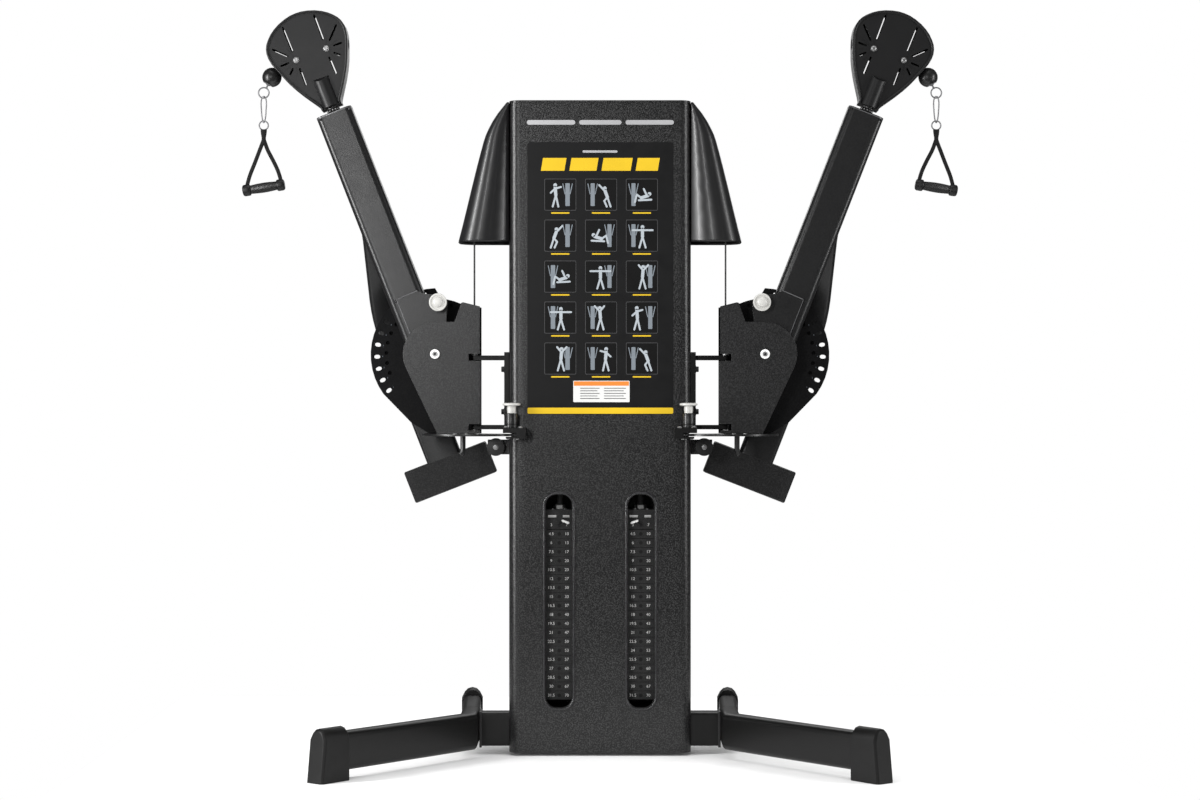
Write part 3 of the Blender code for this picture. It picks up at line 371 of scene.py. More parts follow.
def ring_of(bm, centre, radius, wire, axis, steps=36, sides=12):
    """A round wire ring."""
    loops = []
    for i in range(steps):
        a = 2 * pi * i / steps
        loops.append([bm.verts.new(at_height((centre[0] + (radius + wire * cos(b)) * cos(a),
                                              centre[1] + (radius + wire * cos(b)) * sin(a)), axis,
                                             centre[2] + wire * sin(b)))
                      for b in (2 * pi * k / sides for k in range(sides))])
    for i in range(steps):
        near, far = loops[i], loops[(i + 1) % steps]
        for k in range(sides):
            m = (k + 1) % sides
            face = (near[k], far[k], far[m], near[m])
            bm.faces.new(face if axis != "y" else (near[k], near[m], far[m], far[k]))


def tube(bm, points, radius, sides=12, flat=1.0):
    """A round bar along points; flat squeezes it from front to back."""
    points = [Vector(p) for p in points]
    rings = []
    for i, p in enumerate(points):
        before = points[max(i - 1, 0)]
        after = points[min(i + 1, len(points) - 1)]
        along = (after - before).normalized()
        side = Vector((0.0, 1.0, 0.0)).cross(along)
        side = side.normalized() if side.length > 1e-6 else Vector((1.0, 0.0, 0.0))
        rise = along.cross(side).normalized()
        size = radius[i] if isinstance(radius, (list, tuple)) else radius
        rings.append([p + side * size * cos(a) + rise * size * flat * sin(a)
                      for a in (2 * pi * k / sides for k in range(sides))])
    loft(bm, rings)


def ball(bm, centre, radius, steps=28):
    before = set(bm.verts)
    bmesh.ops.create_uvsphere(bm, u_segments=steps, v_segments=steps // 2, radius=radius)
    bmesh.ops.translate(bm, vec=centre, verts=[v for v in bm.verts if v not in before])


def piece(name, bm, material, body, side=1, place=standing, bevel=0.0, sharp=32.0, replaces=()):
    """Puts a drawn solid in its place on its side, gives it its finish and its body. A finish given by name
    is the FINISH entry of that name."""
    for vert in bm.verts:
        spot = place(*vert.co)
        vert.co = (side * spot.x, spot.y, spot.z)
    if side < 0:
        bmesh.ops.reverse_faces(bm, faces=bm.faces)
    mesh = bpy.data.meshes.new(name)
    bm.to_mesh(mesh)
    bm.free()
    mesh.polygons.foreach_set("use_smooth", [True] * len(mesh.polygons))
    thing = bpy.data.objects.new(name, mesh)
    bpy.context.scene.collection.objects.link(thing)
    named = isinstance(material, str)
    mesh.materials.append(FINISH[material] if named else material)
    if bevel:
        soften(thing, bevel)
    else:
        mesh.set_sharp_from_angle(angle=radians(sharp))
    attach(thing, body)
    if replaces:
        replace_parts(thing, *replaces)
    return thing


def soften(thing, width):
    step = thing.modifiers.new("edges", "BEVEL")
    step.width = width
    step.segments = 2
    step.limit_method = "ANGLE"
    step.angle_limit = radians(34.0)
    step.use_clamp_overlap = True
    step.miter_outer = "MITER_ARC"
    shade = thing.modifiers.new("shade", "WEIGHTED_NORMAL")
    shade.keep_sharp = False
    shade.weight = 60


def refine(node, material, bevel):
    """A carried-over CAD solid: its finish, and its edges eased."""
    thing = frame["nodes"][node]
    thing.data.materials.clear()
    thing.data.materials.append(material)
    if "custom_normal" in thing.data.attributes:
        thing.data.attributes.remove(thing.data.attributes["custom_normal"])
    thing.data.polygons.foreach_set("use_smooth", [True] * len(thing.data.polygons))
    weld = thing.modifiers.new("weld", "WELD")
    weld.merge_threshold = 0.00002
    if bevel:
        soften(thing, bevel)
    else:
        shade = thing.modifiers.new("shade", "WEIGHTED_NORMAL")
        shade.keep_sharp = False


FONT_SIZE = 1.38  # font size for each metre of numeral height


def lettered(name, items, material, body, y):
    """Flat numerals on the front, all in one mesh: (text, x, z, height)."""
    whole = bmesh.new()
    for text, x, z, height in items:
        curve = bpy.data.curves.new("numeral", "FONT")
        curve.body = text
        curve.size = height * FONT_SIZE
        curve.align_x = "CENTER"
        curve.align_y = "CENTER"
        curve.extrude = 0.0001
        curve.resolution_u = 3
        holder = bpy.data.objects.new("numeral", curve)
        bpy.context.scene.collection.objects.link(holder)
        bpy.context.view_layer.update()
        mesh = bpy.data.meshes.new_from_object(holder.evaluated_get(bpy.context.evaluated_depsgraph_get()))
        mesh.transform(Matrix.Translation((x, y, z)) @ Matrix.Rotation(radians(90), 4, "X"))
        whole.from_mesh(mesh)
        bpy.data.objects.remove(holder)
        bpy.data.curves.remove(curve)
        bpy.data.meshes.remove(mesh)
    return piece(name, whole, material, body)


def bolt(bm, centre, axis, low, out, head=0.008, high=0.005, hexed=False, washer=0.0):
    """A bolt head standing out of a face: low is the face, out is +1 or -1 along the axis."""
    steps = 6 if hexed else 20
    if washer:
        disc = ((washer, -0.0004), (washer, 0.0010), (washer * 0.94, 0.0015), (0.0, 0.0015))
        lathe(bm, [(r, low + out * h) for r, h in disc], axis, centre, 24)
        low += out * 0.0014
    if hexed:
        shape = ((1.0, 0.85), (0.86, 1.0), (0.0, 1.0))
    else:
        shape = ((1.0, 0.35), (0.92, 0.7), (0.66, 1.0), (0.42, 1.0), (0.40, 0.45), (0.0, 0.45))
    profile = [(head, low - out * 0.0004)] + [(head * r, low + out * high * h) for r, h in shape]
    lathe(bm, profile, axis, centre, steps)


# ---------------------------------------------------------------- carried-over CAD solids


def carried_over():
    widths = {"front_cover": 0.0012, "back_cover": 0.0012, "base_bar": 0.0015, "tower_frame": 0.0008}
    sided = {
        0.0: "front_leg rear_leg cable cable_stop tilt_pin swing_pin selector_pin snap_hook "
             "handle_strap handle_grip",
        0.0004: "head_pulley_inner head_pulley_outer top_pulley_inner top_pulley_outer",
        0.0006: "tilt_sector index_plate",
        0.0007: "pivot_plate",
        0.0008: "weight_stack swivel_bracket lift_plate",
        0.0009: "head_cover head_frame",
        0.0010: "side_shroud arm_tube",
        0.0012: "swivel_post counterweight",
        0.0016: "front_foot rear_foot",
    }
    for hand, _ in SIDES:
        for width, names in sided.items():
            for name in names.split():
                widths[f"{name}_{hand}"] = width
    slots = {entry["node"]: entry["material_slot"] for entry in frame["record"]["subparts"]}
    # the tilt sector takes the darker sector finish: painted shade
    own = {"tilt_sector": SECTOR_SHADE_BLACK, "counterweight": SLAB, "front_leg": LEG, "rear_leg": LEG,
           "front_foot": FOOT, "rear_foot": FOOT, "swivel_bracket": LEG, "base": LEG}
    for node, width in widths.items():
        refine(node, own.get(node.rpartition("_")[0], FINISH[slots[node]]), width)


# ---------------------------------------------------------------- tower front


def placard():
    y = TOWER_FRONT
    bm = bmesh.new()
    plate(bm, rounded(0.205, 0.382, 0.008, 5, (0.001, 1.342)), "y", y - 0.0008, y + 0.0002)
    piece("placard_panel", bm, PANEL, "frame", bevel=0.0002)
    front = y - 0.0008

    def printed(bm, outline, proud=0.0003, sunk=0.0002):
        plate(bm, outline, "y", front - proud, front + sunk)

    bm = bmesh.new()
    printed(bm, rounded(0.2045, 0.0085, 0.0035, 3, (0.001, 0.970)), 0.0004)
    for low, high in ((-0.166, -0.094), (-0.086, -0.004), (0.004, 0.092), (0.100, 0.168)):
        printed(bm, [(low, 1.6435), (high - 0.006, 1.6435), (high, 1.6795), (low + 0.006, 1.6795)])
    piece("placard_yellow", bm, YELLOW, "frame")
    bm = bmesh.new()
    printed(bm, capsule((-0.046, 1.6975), (0.046, 1.6975), 0.0032))
    for x0, x1 in ((-0.205, -0.070), (-0.058, 0.060), (0.072, 0.207)):
        plate(bm, capsule((x0 + 0.006, 1.7795), (x1 - 0.006, 1.7795), 0.0065), "y", y - 0.0004, y + 0.0002)
    piece("placard_silver", bm, SILVER, "frame")
    tiles, edges, figures, machines, captions = (bmesh.new() for _ in range(5))
    for row in range(5):
        for column in range(3):
            x = TILE_FIRST[0] + TILE_PITCH[0] * column
            z = TILE_FIRST[1] - TILE_PITCH[1] * row
            printed(edges, rounded(TILE_HALF, TILE_HALF, 0.003, 2, (x, z)))
            inner = TILE_HALF - 0.0013
            printed(tiles, rounded(inner, inner, 0.002, 2, (x, z)), 0.0005, 0.0001)
            drill(figures, machines, x, z, row * 3 + column, front - 0.0005)
            printed(captions, capsule((x - 0.024, z - 0.0515), (x + 0.024, z - 0.0515), 0.0019))
    piece("placard_tile_edges", edges, TILE_EDGE, "frame")
    piece("placard_tiles", tiles, TILE, "frame")
    piece("placard_figures", figures, FIGURE, "frame")
    piece("placard_machines", machines, FIGURE_DARK, "frame")
    piece("placard_captions", captions, YELLOW, "frame")
    bm = bmesh.new()
    printed(bm, rounded(0.0790, 0.0300, 0.002, 2, (0.004, 1.0240)))
    piece("placard_label", bm, PAPER, "frame")
    bm = bmesh.new()
    printed(bm, rounded(0.0772, 0.0062, 0.001, 2, (0.004, 1.0462)), 0.0005, 0.0001)
    piece("placard_label_band", bm, ORANGE, "frame")
    bm = bmesh.new()
    for k in range(5):
        for x0, x1 in ((-0.055, -0.002), (0.012, 0.072)):
            z = 1.0330 - 0.0072 * k
            printed(bm, capsule((x0, z), (x1 - 0.006 * (k % 2), z), 0.0010, 3), 0.0005, 0.0)
    piece("placard_label_lines", bm, TILE_EDGE, "frame")


STANCES = (
    ((-0.16, 0.30), ((-0.16, 0.23, -0.14, -0.02), (-0.14, -0.02, -0.24, -0.38), (-0.14, -0.02, -0.06, -0.38),
                     (-0.16, 0.19, 0.02, 0.24), (-0.16, 0.19, -0.30, 0.06))),
    ((-0.02, 0.27), ((-0.02, 0.20, -0.02, -0.04), (-0.02, -0.04, -0.12, -0.38), (-0.02, -0.04, 0.08, -0.38),
                     (-0.02, 0.17, -0.34, 0.17), (-0.02, 0.17, 0.30, 0.17))),
    ((-0.12, 0.20), ((-0.12, 0.13, -0.20, -0.08), (-0.20, -0.08, -0.10, -0.20), (-0.10, -0.20, -0.18, -0.38),
                     (-0.20, -0.08, -0.30, -0.38), (-0.13, 0.10, 0.06, 0.30))),
    ((0.04, 0.30), ((0.04, 0.23, 0.02, -0.02), (0.02, -0.02, -0.08, -0.38), (0.02, -0.02, 0.12, -0.38),
                    (0.04, 0.19, -0.10, 0.36), (0.04, 0.19, 0.20, 0.36))),
    ((-0.24, 0.02), ((-0.20, -0.03, 0.02, -0.10), (0.02, -0.10, 0.16, 0.00), (0.16, 0.00, 0.22, -0.24),
                     (-0.16, -0.04, -0.06, 0.18), (-0.30, -0.16, 0.10, -0.18))),
)


def drill(figures, machines, x, z, number, y):
    """A plain stick figure beside a plain tower, one for each tile."""
    head, limbs = STANCES[(number * 2 + number // 3) % 5]
    flip = -1 if number % 4 in (1, 2) else 1
    size = 2 * TILE_HALF

    def spot(a, b):
        return x + flip * a * size, z + b * size

    plate(figures, circle(spot(*head), 0.060 * size, 14), "y", y - 0.0006, y + 0.0001)
    for k, (a0, b0, a1, b1) in enumerate(limbs):
        wide = (0.050 if k == 0 else 0.030) * size
        limb = capsule(spot(a0, b0), spot(a1, b1), wide, 4)
        plate(figures, limb, "y", y - 0.0006 - 0.00003 * k, y + 0.0001)
    a, b = (0.20, 0.33) if number % 3 else (0.16, 0.30)
    low, high = sorted((spot(a, 0)[0], spot(b, 0)[0]))
    plate(machines, rounded((high - low) / 2, 0.36 * size, 0.0015, 2, ((low + high) / 2, z)), "y",
          y - 0.0003, y + 0.0001)
    for k in (-1, 1):
        ends = spot((a + b) / 2 + 0.08 * k, 0.02), spot((a + b) / 2 + 0.15 * k, 0.34)
        plate(machines, capsule(*ends, 0.014 * size, 3), "y", y - 0.0004, y + 0.0001)


def windows():
    """A raised bead round each weight window and a dark lining in its cut edge, painted shade in the window's
    well.
    """
    middle, tall = sum(WINDOW_Z) / 2, (WINDOW_Z[1] - WINDOW_Z[0]) / 2
    bead = ((-0.0052, 0.0202), (-0.0050, 0.0184), (-0.0038, 0.0168), (-0.0020, 0.0160), (0.0002, 0.0166),
            (0.0016, 0.0184), (0.0018, 0.0226))
    lining = ((0.0018, 0.0224), (0.0030, 0.0262), (0.0032, 0.0300))
    for hand, s in SIDES:
        for name, shape, material in (("bead", bead, TRIM), ("well", lining, SHADE_AND_PLUG_BLACK)):
            bm = bmesh.new()
            rings = []
            for inset, y in shape:
                line = rounded(WINDOW_HALF - inset, tall - inset, 0.034 - inset, 12, (STACK_X, middle))
                rings.append([(px, y, pz) for px, pz in line])
            loft(bm, rings, caps=False)
            piece(f"window_{name}_{hand}", bm, material, "frame", side=s, sharp=60.0)


def plate_numbers():
    kilograms = [3 + 1.5 * row for row in range(PLATES)]
    for hand, s in SIDES:
        low_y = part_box(f"weight_stack_{hand}")[0].y
        for body, rows in ((f"lift_{hand}", range(1)), ("frame", range(1, PLATES))):
            items = []
            for row in rows:
                z = STACK_FOOT + PLATE * (PLATES - 0.5 - row)
                items.append((f"{kilograms[row]:g}", s * STACK_X - 0.0225, z, 0.0085))
                items.append((f"{kilograms[row] / 0.45:.0f}", s * STACK_X + 0.0215, z, 0.0085))
            lettered(f"numbers_{body}_{hand}", items, NUMBER, body, low_y - 0.0002)
        bm = bmesh.new()
        z = STACK_FOOT + PLATE * PLATES + 0.012
        for x0, x1 in ((-0.031, -0.009), (0.011, 0.028)):
            for high in (z - 0.0018, z + 0.0018):
                mark = capsule((s * STACK_X + x0, high), (s * STACK_X + x1, high), 0.0011, 3)
                plate(bm, mark, "y", low_y - 0.0003, low_y + 0.0004)
        piece(f"head_plate_marks_{hand}", bm, NUMBER, f"lift_{hand}")
        bm = bmesh.new()
        for row in range(1, PLATES):
            z = STACK_FOOT + PLATE * (PLATES - 0.5 - row)
            plate(bm, circle((STACK_X, z), 0.0052, 16), "y", low_y - 0.0003, low_y + 0.0004)
        # dark discs over the plate holes: painted shade in the holes
        piece(f"plate_holes_{hand}", bm, SHADE_AND_PLUG_BLACK, "frame", side=s)


# ---------------------------------------------------------------- tower sides, top and back


def shroud(hand, s):
    """The vacuum-formed hood: a smooth flare, replacing its plainer CAD solid."""
    line = ((1.8378, 0.2625, 0.006), (1.8240, 0.2745, 0.012), (1.8074, 0.2885, 0.018),
            (1.7860, 0.3030, 0.023), (1.7650, 0.3145, 0.027), (1.7480, 0.3225, 0.030),
            (1.7300, 0.3288, 0.033), (1.7000, 0.3372, 0.037), (1.6600, 0.3480, 0.041),
            (1.6000, 0.3632, 0.047), (1.5400, 0.3780, 0.052), (1.4900, 0.3905, 0.056),
            (1.4600, 0.3985, 0.059), (1.4520, 0.4005, 0.060), (1.4460, 0.4015, 0.060))
    bm = bmesh.new()
    loops = []
    for z, reach, radius in line:
        root, front, rear = TOWER_HALF + 0.0008, 0.0322, 0.2048
        points = [(root, front)] + arc((reach - radius, front + radius), radius, 270, 360, 10)
        points += arc((reach - radius, rear - radius), radius, 0, 90, 10) + [(root, rear)]
        loops.append([bm.verts.new((x, y, z)) for x, y in points])
    for near, far in zip(loops, loops[1:]):
        for i in range(len(near) - 1):
            bm.faces.new((near[i], far[i], far[i + 1], near[i + 1]))
    bm.faces.new(loops[0])
    skin = piece(f"hood_{hand}", bm, "shroud_black", "frame", side=s, sharp=50.0,
                 replaces=(f"side_shroud_{hand}",))
    thick = skin.modifiers.new("skin", "SOLIDIFY")
    thick.thickness = 0.0026
    thick.offset = -1.0


def tower_fittings():
    bm = bmesh.new()
    for x in (-0.205, -0.150, 0.150, 0.205):
        for y in (0.060, 0.195):
            bolt(bm, (x, y), "z", TOWER_TOP, 1, 0.0070, 0.0040)
    piece("top_bolts", bm, BOLT, "frame")
    bm = bmesh.new()
    for k in range(6):
        z = 0.10 + 0.335 * k
        for x in (-0.238, 0.238):
            bolt(bm, (x, z), "y", TOWER_BACK, 1, 0.0055, 0.0030)
    piece("back_screws", bm, BOLT, "frame")
    bm = bmesh.new()
    for low, high in ((0.060, 0.905), (0.925, 1.800)):
        panel = rounded(0.224, (high - low) / 2, 0.012, 4, (0.0, (low + high) / 2))
        plate(bm, panel, "y", TOWER_BACK - 0.0002, TOWER_BACK + 0.0012)
    piece("back_panels", bm, "cover_black", "frame", bevel=0.0006)
    bm = bmesh.new()
    for z in [0.30 + 0.018 * k for k in range(9)] + [1.52 + 0.018 * k for k in range(9)]:
        plate(bm, capsule((-0.075, z), (0.075, z), 0.0035, 5), "y", TOWER_BACK + 0.0008, TOWER_BACK + 0.0015)
    # dark vent slots: painted shade in the vents
    piece("back_vents", bm, SHADE_AND_PLUG_BLACK, "frame")
    for hand, s in SIDES:
        # rubber roller that ends the swing, on its bolt
        bm = bmesh.new()
        lathe(bm, [(0.0235, 0.0838), (0.0252, 0.0820), (0.0252, 0.0640), (0.0238, 0.0618), (0.0120, 0.0612),
                   (0.0, 0.0612)], "y", ROLLER, 36)
        piece(f"swing_roller_{hand}", bm, "rubber_black", "frame", side=s)
        bm = bmesh.new()
        bolt(bm, ROLLER, "y", 0.0620, -1, 0.0078, 0.0022)
        bolt(bm, ROLLER, "y", 0.0898, 1, 0.0072, 0.0055, hexed=True, washer=0.0098)
        piece(f"swing_roller_bolt_{hand}", bm, ZINC, "frame", side=s)
        bm = bmesh.new()
        for z in (1.087, 0.967):
            for y in (0.066, 0.098):
                bolt(bm, (y, z), "x", 0.2700, 1, 0.0088, 0.0075, hexed=True, washer=0.0108)
        piece(f"bracket_bolts_{hand}", bm, BOLT, "frame", side=s)
        bm = bmesh.new()
        for z, out in ((1.1260, 1), (0.9170, -1)):
            lathe(bm, [(0.0042, z - out * 0.001), (0.0042, z + out * 0.0050), (0.0078, z + out * 0.0050),
                       (0.0088, z + out * 0.0040), (0.0088, z - out * 0.001)], "z", (SWIVEL_X, SWIVEL_Y), 24)
        piece(f"swivel_bush_{hand}", bm, ZINC, "frame", side=s)
        bm = bmesh.new()
        for x, y in ((0.222, -0.034), (0.262, -0.034), (0.262, 0.012)):
            bolt(bm, (x, y), "z", 0.9238 if y > 0 else 0.9218, 1, 0.0060, 0.0045, hexed=True)
        piece(f"jaw_bolts_{hand}", bm, ZINC, "frame", side=s)
        bm = bmesh.new()
        for x, y in ((0.230, -0.034), (0.256, -0.020)):
            bolt(bm, (x, y), "z", 0.8926, -1, 0.0050, 0.0032)
        piece(f"jaw_nuts_{hand}", bm, ZINC, "frame", side=s)


def base_fittings(hand, s):
    bm = bmesh.new()
    outline = [(0.050, 0.020), (0.120, 0.020), (0.120, 0.1205), (0.050, 0.1205)]
    plate(bm, outline, "x", 0.3335, 0.3405)
    piece(f"base_flange_{hand}", bm, "frame_black", "frame", side=s, bevel=0.0010)


# ---------------------------------------------------------------- swing plunger, tilt plunger, selector


def plungers(hand, s):
    bm = bmesh.new()
    lathe(bm, [(0.0118, 0.9632), (0.0118, 0.9690), (0.0125, 0.9696), (0.0125, 0.9796), (0.0120, 0.9806),
               (0.0120, 0.9828), (0.0236, 0.9846), (0.0250, 0.9862), (0.0250, 0.9892), (0.0242, 0.9904),
               (0.0200, 0.9916), (0.0, 0.9924)], "z", SWING_PIN, 40)
    piece(f"swing_knob_{hand}", bm, "knob_white", f"swing_pin_{hand}", side=s,
          replaces=(f"swing_pin_{hand}",))
    bm = bmesh.new()
    lathe(bm, [(0.0, 0.9066), (0.0040, 0.9066), (0.0049, 0.9076), (0.0049, 0.9640), (0.0, 0.9640)], "z",
          SWING_PIN, 20)
    piece(f"swing_rod_{hand}", bm, ZINC, f"swing_pin_{hand}", side=s)
    bm = bmesh.new()
    lathe(bm, [(0.0168, 0.9242), (0.0168, 0.9296), (0.0160, 0.9306), (0.0160, 0.9330), (0.0168, 0.9340),
               (0.0168, 0.9600), (0.0158, 0.9622), (0.0136, 0.9622), (0.0136, 0.9560), (0.0136, 0.9242)], "z",
          SWING_PIN, 32)
    piece(f"swing_barrel_{hand}", bm, "shroud_black", "frame", side=s)
    bm = bmesh.new()
    lathe(bm, [(0.0110, -0.0556), (0.0110, -0.0784), (0.0232, -0.0788), (0.0248, -0.0800), (0.0250, -0.0812),
               (0.0250, -0.0884), (0.0243, -0.0898), (0.0226, -0.0905), (0.0206, -0.0902), (0.0192, -0.0886),
               (0.0150, -0.0884), (0.0142, -0.0925), (0.0124, -0.0955), (0.0092, -0.0973), (0.0048, -0.0980),
               (0.0, -0.0981)], "y", TILT_PIN, 44)
    piece(f"tilt_knob_{hand}", bm, "knob_white", f"tilt_pin_{hand}", side=s, place=leaned,
          replaces=(f"tilt_pin_{hand}",))
    bm = bmesh.new()
    lathe(bm, [(0.0, 0.0434), (0.0040, 0.0434), (0.0049, 0.0424), (0.0049, -0.0560), (0.0, -0.0560)], "y",
          TILT_PIN, 20)
    piece(f"tilt_rod_{hand}", bm, ZINC, f"tilt_pin_{hand}", side=s, place=leaned)
    bm = bmesh.new()
    lathe(bm, [(0.0140, -0.0450), (0.0140, -0.0530), (0.0134, -0.0546), (0.0116, -0.0546), (0.0116, -0.0450)],
          "y", TILT_PIN, 28)
    piece(f"tilt_socket_{hand}", bm, BOLT, f"arm_{hand}", side=s, place=leaned)


def selector(hand, s):
    z = STACK_FOOT + PLATE * (PLATES - 0.5)
    front = STACK_Y - 0.050
    bm = bmesh.new()
    lathe(bm, [(0.0, STACK_Y + 0.0038), (0.0032, STACK_Y + 0.0038), (0.0041, STACK_Y + 0.0022),
               (0.0041, front - 0.0030), (0.0056, front - 0.0032), (0.0056, front - 0.0070),
               (0.0, front - 0.0072)], "y", (STACK_X, z), 24)
    start, end = (STACK_X - 0.0070, z + 0.0135), (STACK_X - 0.0290, z + 0.0055)
    tube(bm, [(STACK_X, front - 0.0055, z), (STACK_X - 0.006, front - 0.0095, z + 0.0045),
              (STACK_X - 0.0165, front - 0.0135, z + 0.0092)], 0.0032, 12)
    piece(f"selector_shank_{hand}", bm, BOLT, f"selector_{hand}", side=s,
          replaces=(f"selector_pin_{hand}",))
    bm = bmesh.new()
    way = Vector((end[0] - start[0], 0.0, end[1] - start[1]))
    root = Vector((start[0], front - 0.0140, start[1]))
    tube(bm, [root + way * k for k in (0.0, 0.06, 0.16, 0.5, 0.84, 0.94, 1.0)],
         [0.0016, 0.0028, 0.0036, 0.0031, 0.0036, 0.0028, 0.0016], 18)
    # the grip's glowing finish: painted light
    piece(f"selector_grip_{hand}", bm, GRIP_GLOW_WHITE, f"selector_{hand}", side=s)
    bm = bmesh.new()
    top = STACK_FOOT + PLATE * PLATES + 0.031
    bolt(bm, (STACK_X, STACK_Y), "z", top, 1, 0.0170, 0.0110, hexed=True, washer=0.0220)
    piece(f"stem_nut_{hand}", bm, ZINC, f"lift_{hand}", side=s)
    bm = bmesh.new()
    for x in (-0.016, 0.018):
        bolt(bm, (STACK_X + x, STACK_Y - 0.036), "z", top, 1, 0.0050, 0.0035)
    piece(f"head_plate_screws_{hand}", bm, ZINC, f"lift_{hand}", side=s)


# ---------------------------------------------------------------- carrier and arm


def carrier(hand, s):
    body = f"carrier_{hand}"
    bm = bmesh.new()
    lathe(bm, [(0.0068, 0.0218), (0.0068, 0.0164), (0.0078, 0.0158), (0.0120, 0.0158), (0.0132, 0.0170),
               (0.0132, 0.0222)], "y", (PIVOT_X, PIVOT_Z), 36)
    piece(f"pivot_washer_{hand}", bm, NUMBER, body, side=s)
    bm = bmesh.new()
    lathe(bm, [(0.0067, 0.0200), (0.0067, 0.0136), (0.0060, 0.0126), (0.0036, 0.0126), (0.0034, 0.0150),
               (0.0, 0.0150)], "y", (PIVOT_X, PIVOT_Z), 24)
    piece(f"pivot_bolt_{hand}", bm, ZINC, body, side=s)
    bm = bmesh.new()
    bolt(bm, (PIVOT_X, PIVOT_Z), "y", CARRIER_BACK, 1, 0.0150, 0.0100, hexed=True, washer=0.0190)
    for x, z in ((SWIVEL_X, 1.085), (SWIVEL_X, 1.020), (SWIVEL_X, 0.960)):
        bolt(bm, (x, z), "y", CARRIER_BACK, 1, 0.0065, 0.0040)
    piece(f"pivot_nut_{hand}", bm, BOLT, body, side=s)
    # a band behind the pin holes, clear of the pin's end
    bm = bmesh.new()
    first = degrees(atan2(TILT_PIN[1] * cos(LEAN) - TILT_PIN[0] * sin(LEAN), TILT_PIN[0] * cos(LEAN)
                          + TILT_PIN[1] * sin(LEAN)))
    start, stop = first - 10.6 * degrees(TILT_STEP), first + 1.5 * degrees(TILT_STEP)
    centre = (PIVOT_X, PIVOT_Z)
    band = arc(centre, 0.1518, start, stop, 44) + arc(centre, 0.1378, stop, start, 44)
    plate(bm, band, "y", 0.1338, 0.1352)
    for a in (start + 2, (start + stop) / 2, stop - 2):
        spot = (PIVOT_X + 0.1402 * cos(radians(a)), PIVOT_Z + 0.1402 * sin(radians(a)))
        lathe(bm, [(0.0024, CARRIER_BACK), (0.0024, 0.1340)], "y", spot, 12)
    # the band takes the sector's darker finish: painted shade behind the pin holes
    piece(f"pin_guard_{hand}", bm, SECTOR_SHADE_BLACK, body, side=s, bevel=0.0002)
    items = []
    for i in range(11):
        a = FIRST_HOLE + TILT_STEP * i
        items.append((str(i + 1), s * (PIVOT_X + 0.1560 * cos(a)), PIVOT_Z + 0.1560 * sin(a), 0.0040))
    lettered(f"tilt_numbers_{hand}", items, FIGURE_DARK, body, 0.1238)
    # screws on the index plate
    bm = bmesh.new()
    for x, y in ((0.340, -0.040), (0.372, -0.046), (0.404, -0.040)):
        bolt(bm, (x, y), "z", INDEX_TOP, 1, 0.0060, 0.0019)
    piece(f"index_screws_{hand}", bm, ZINC, body, side=s)


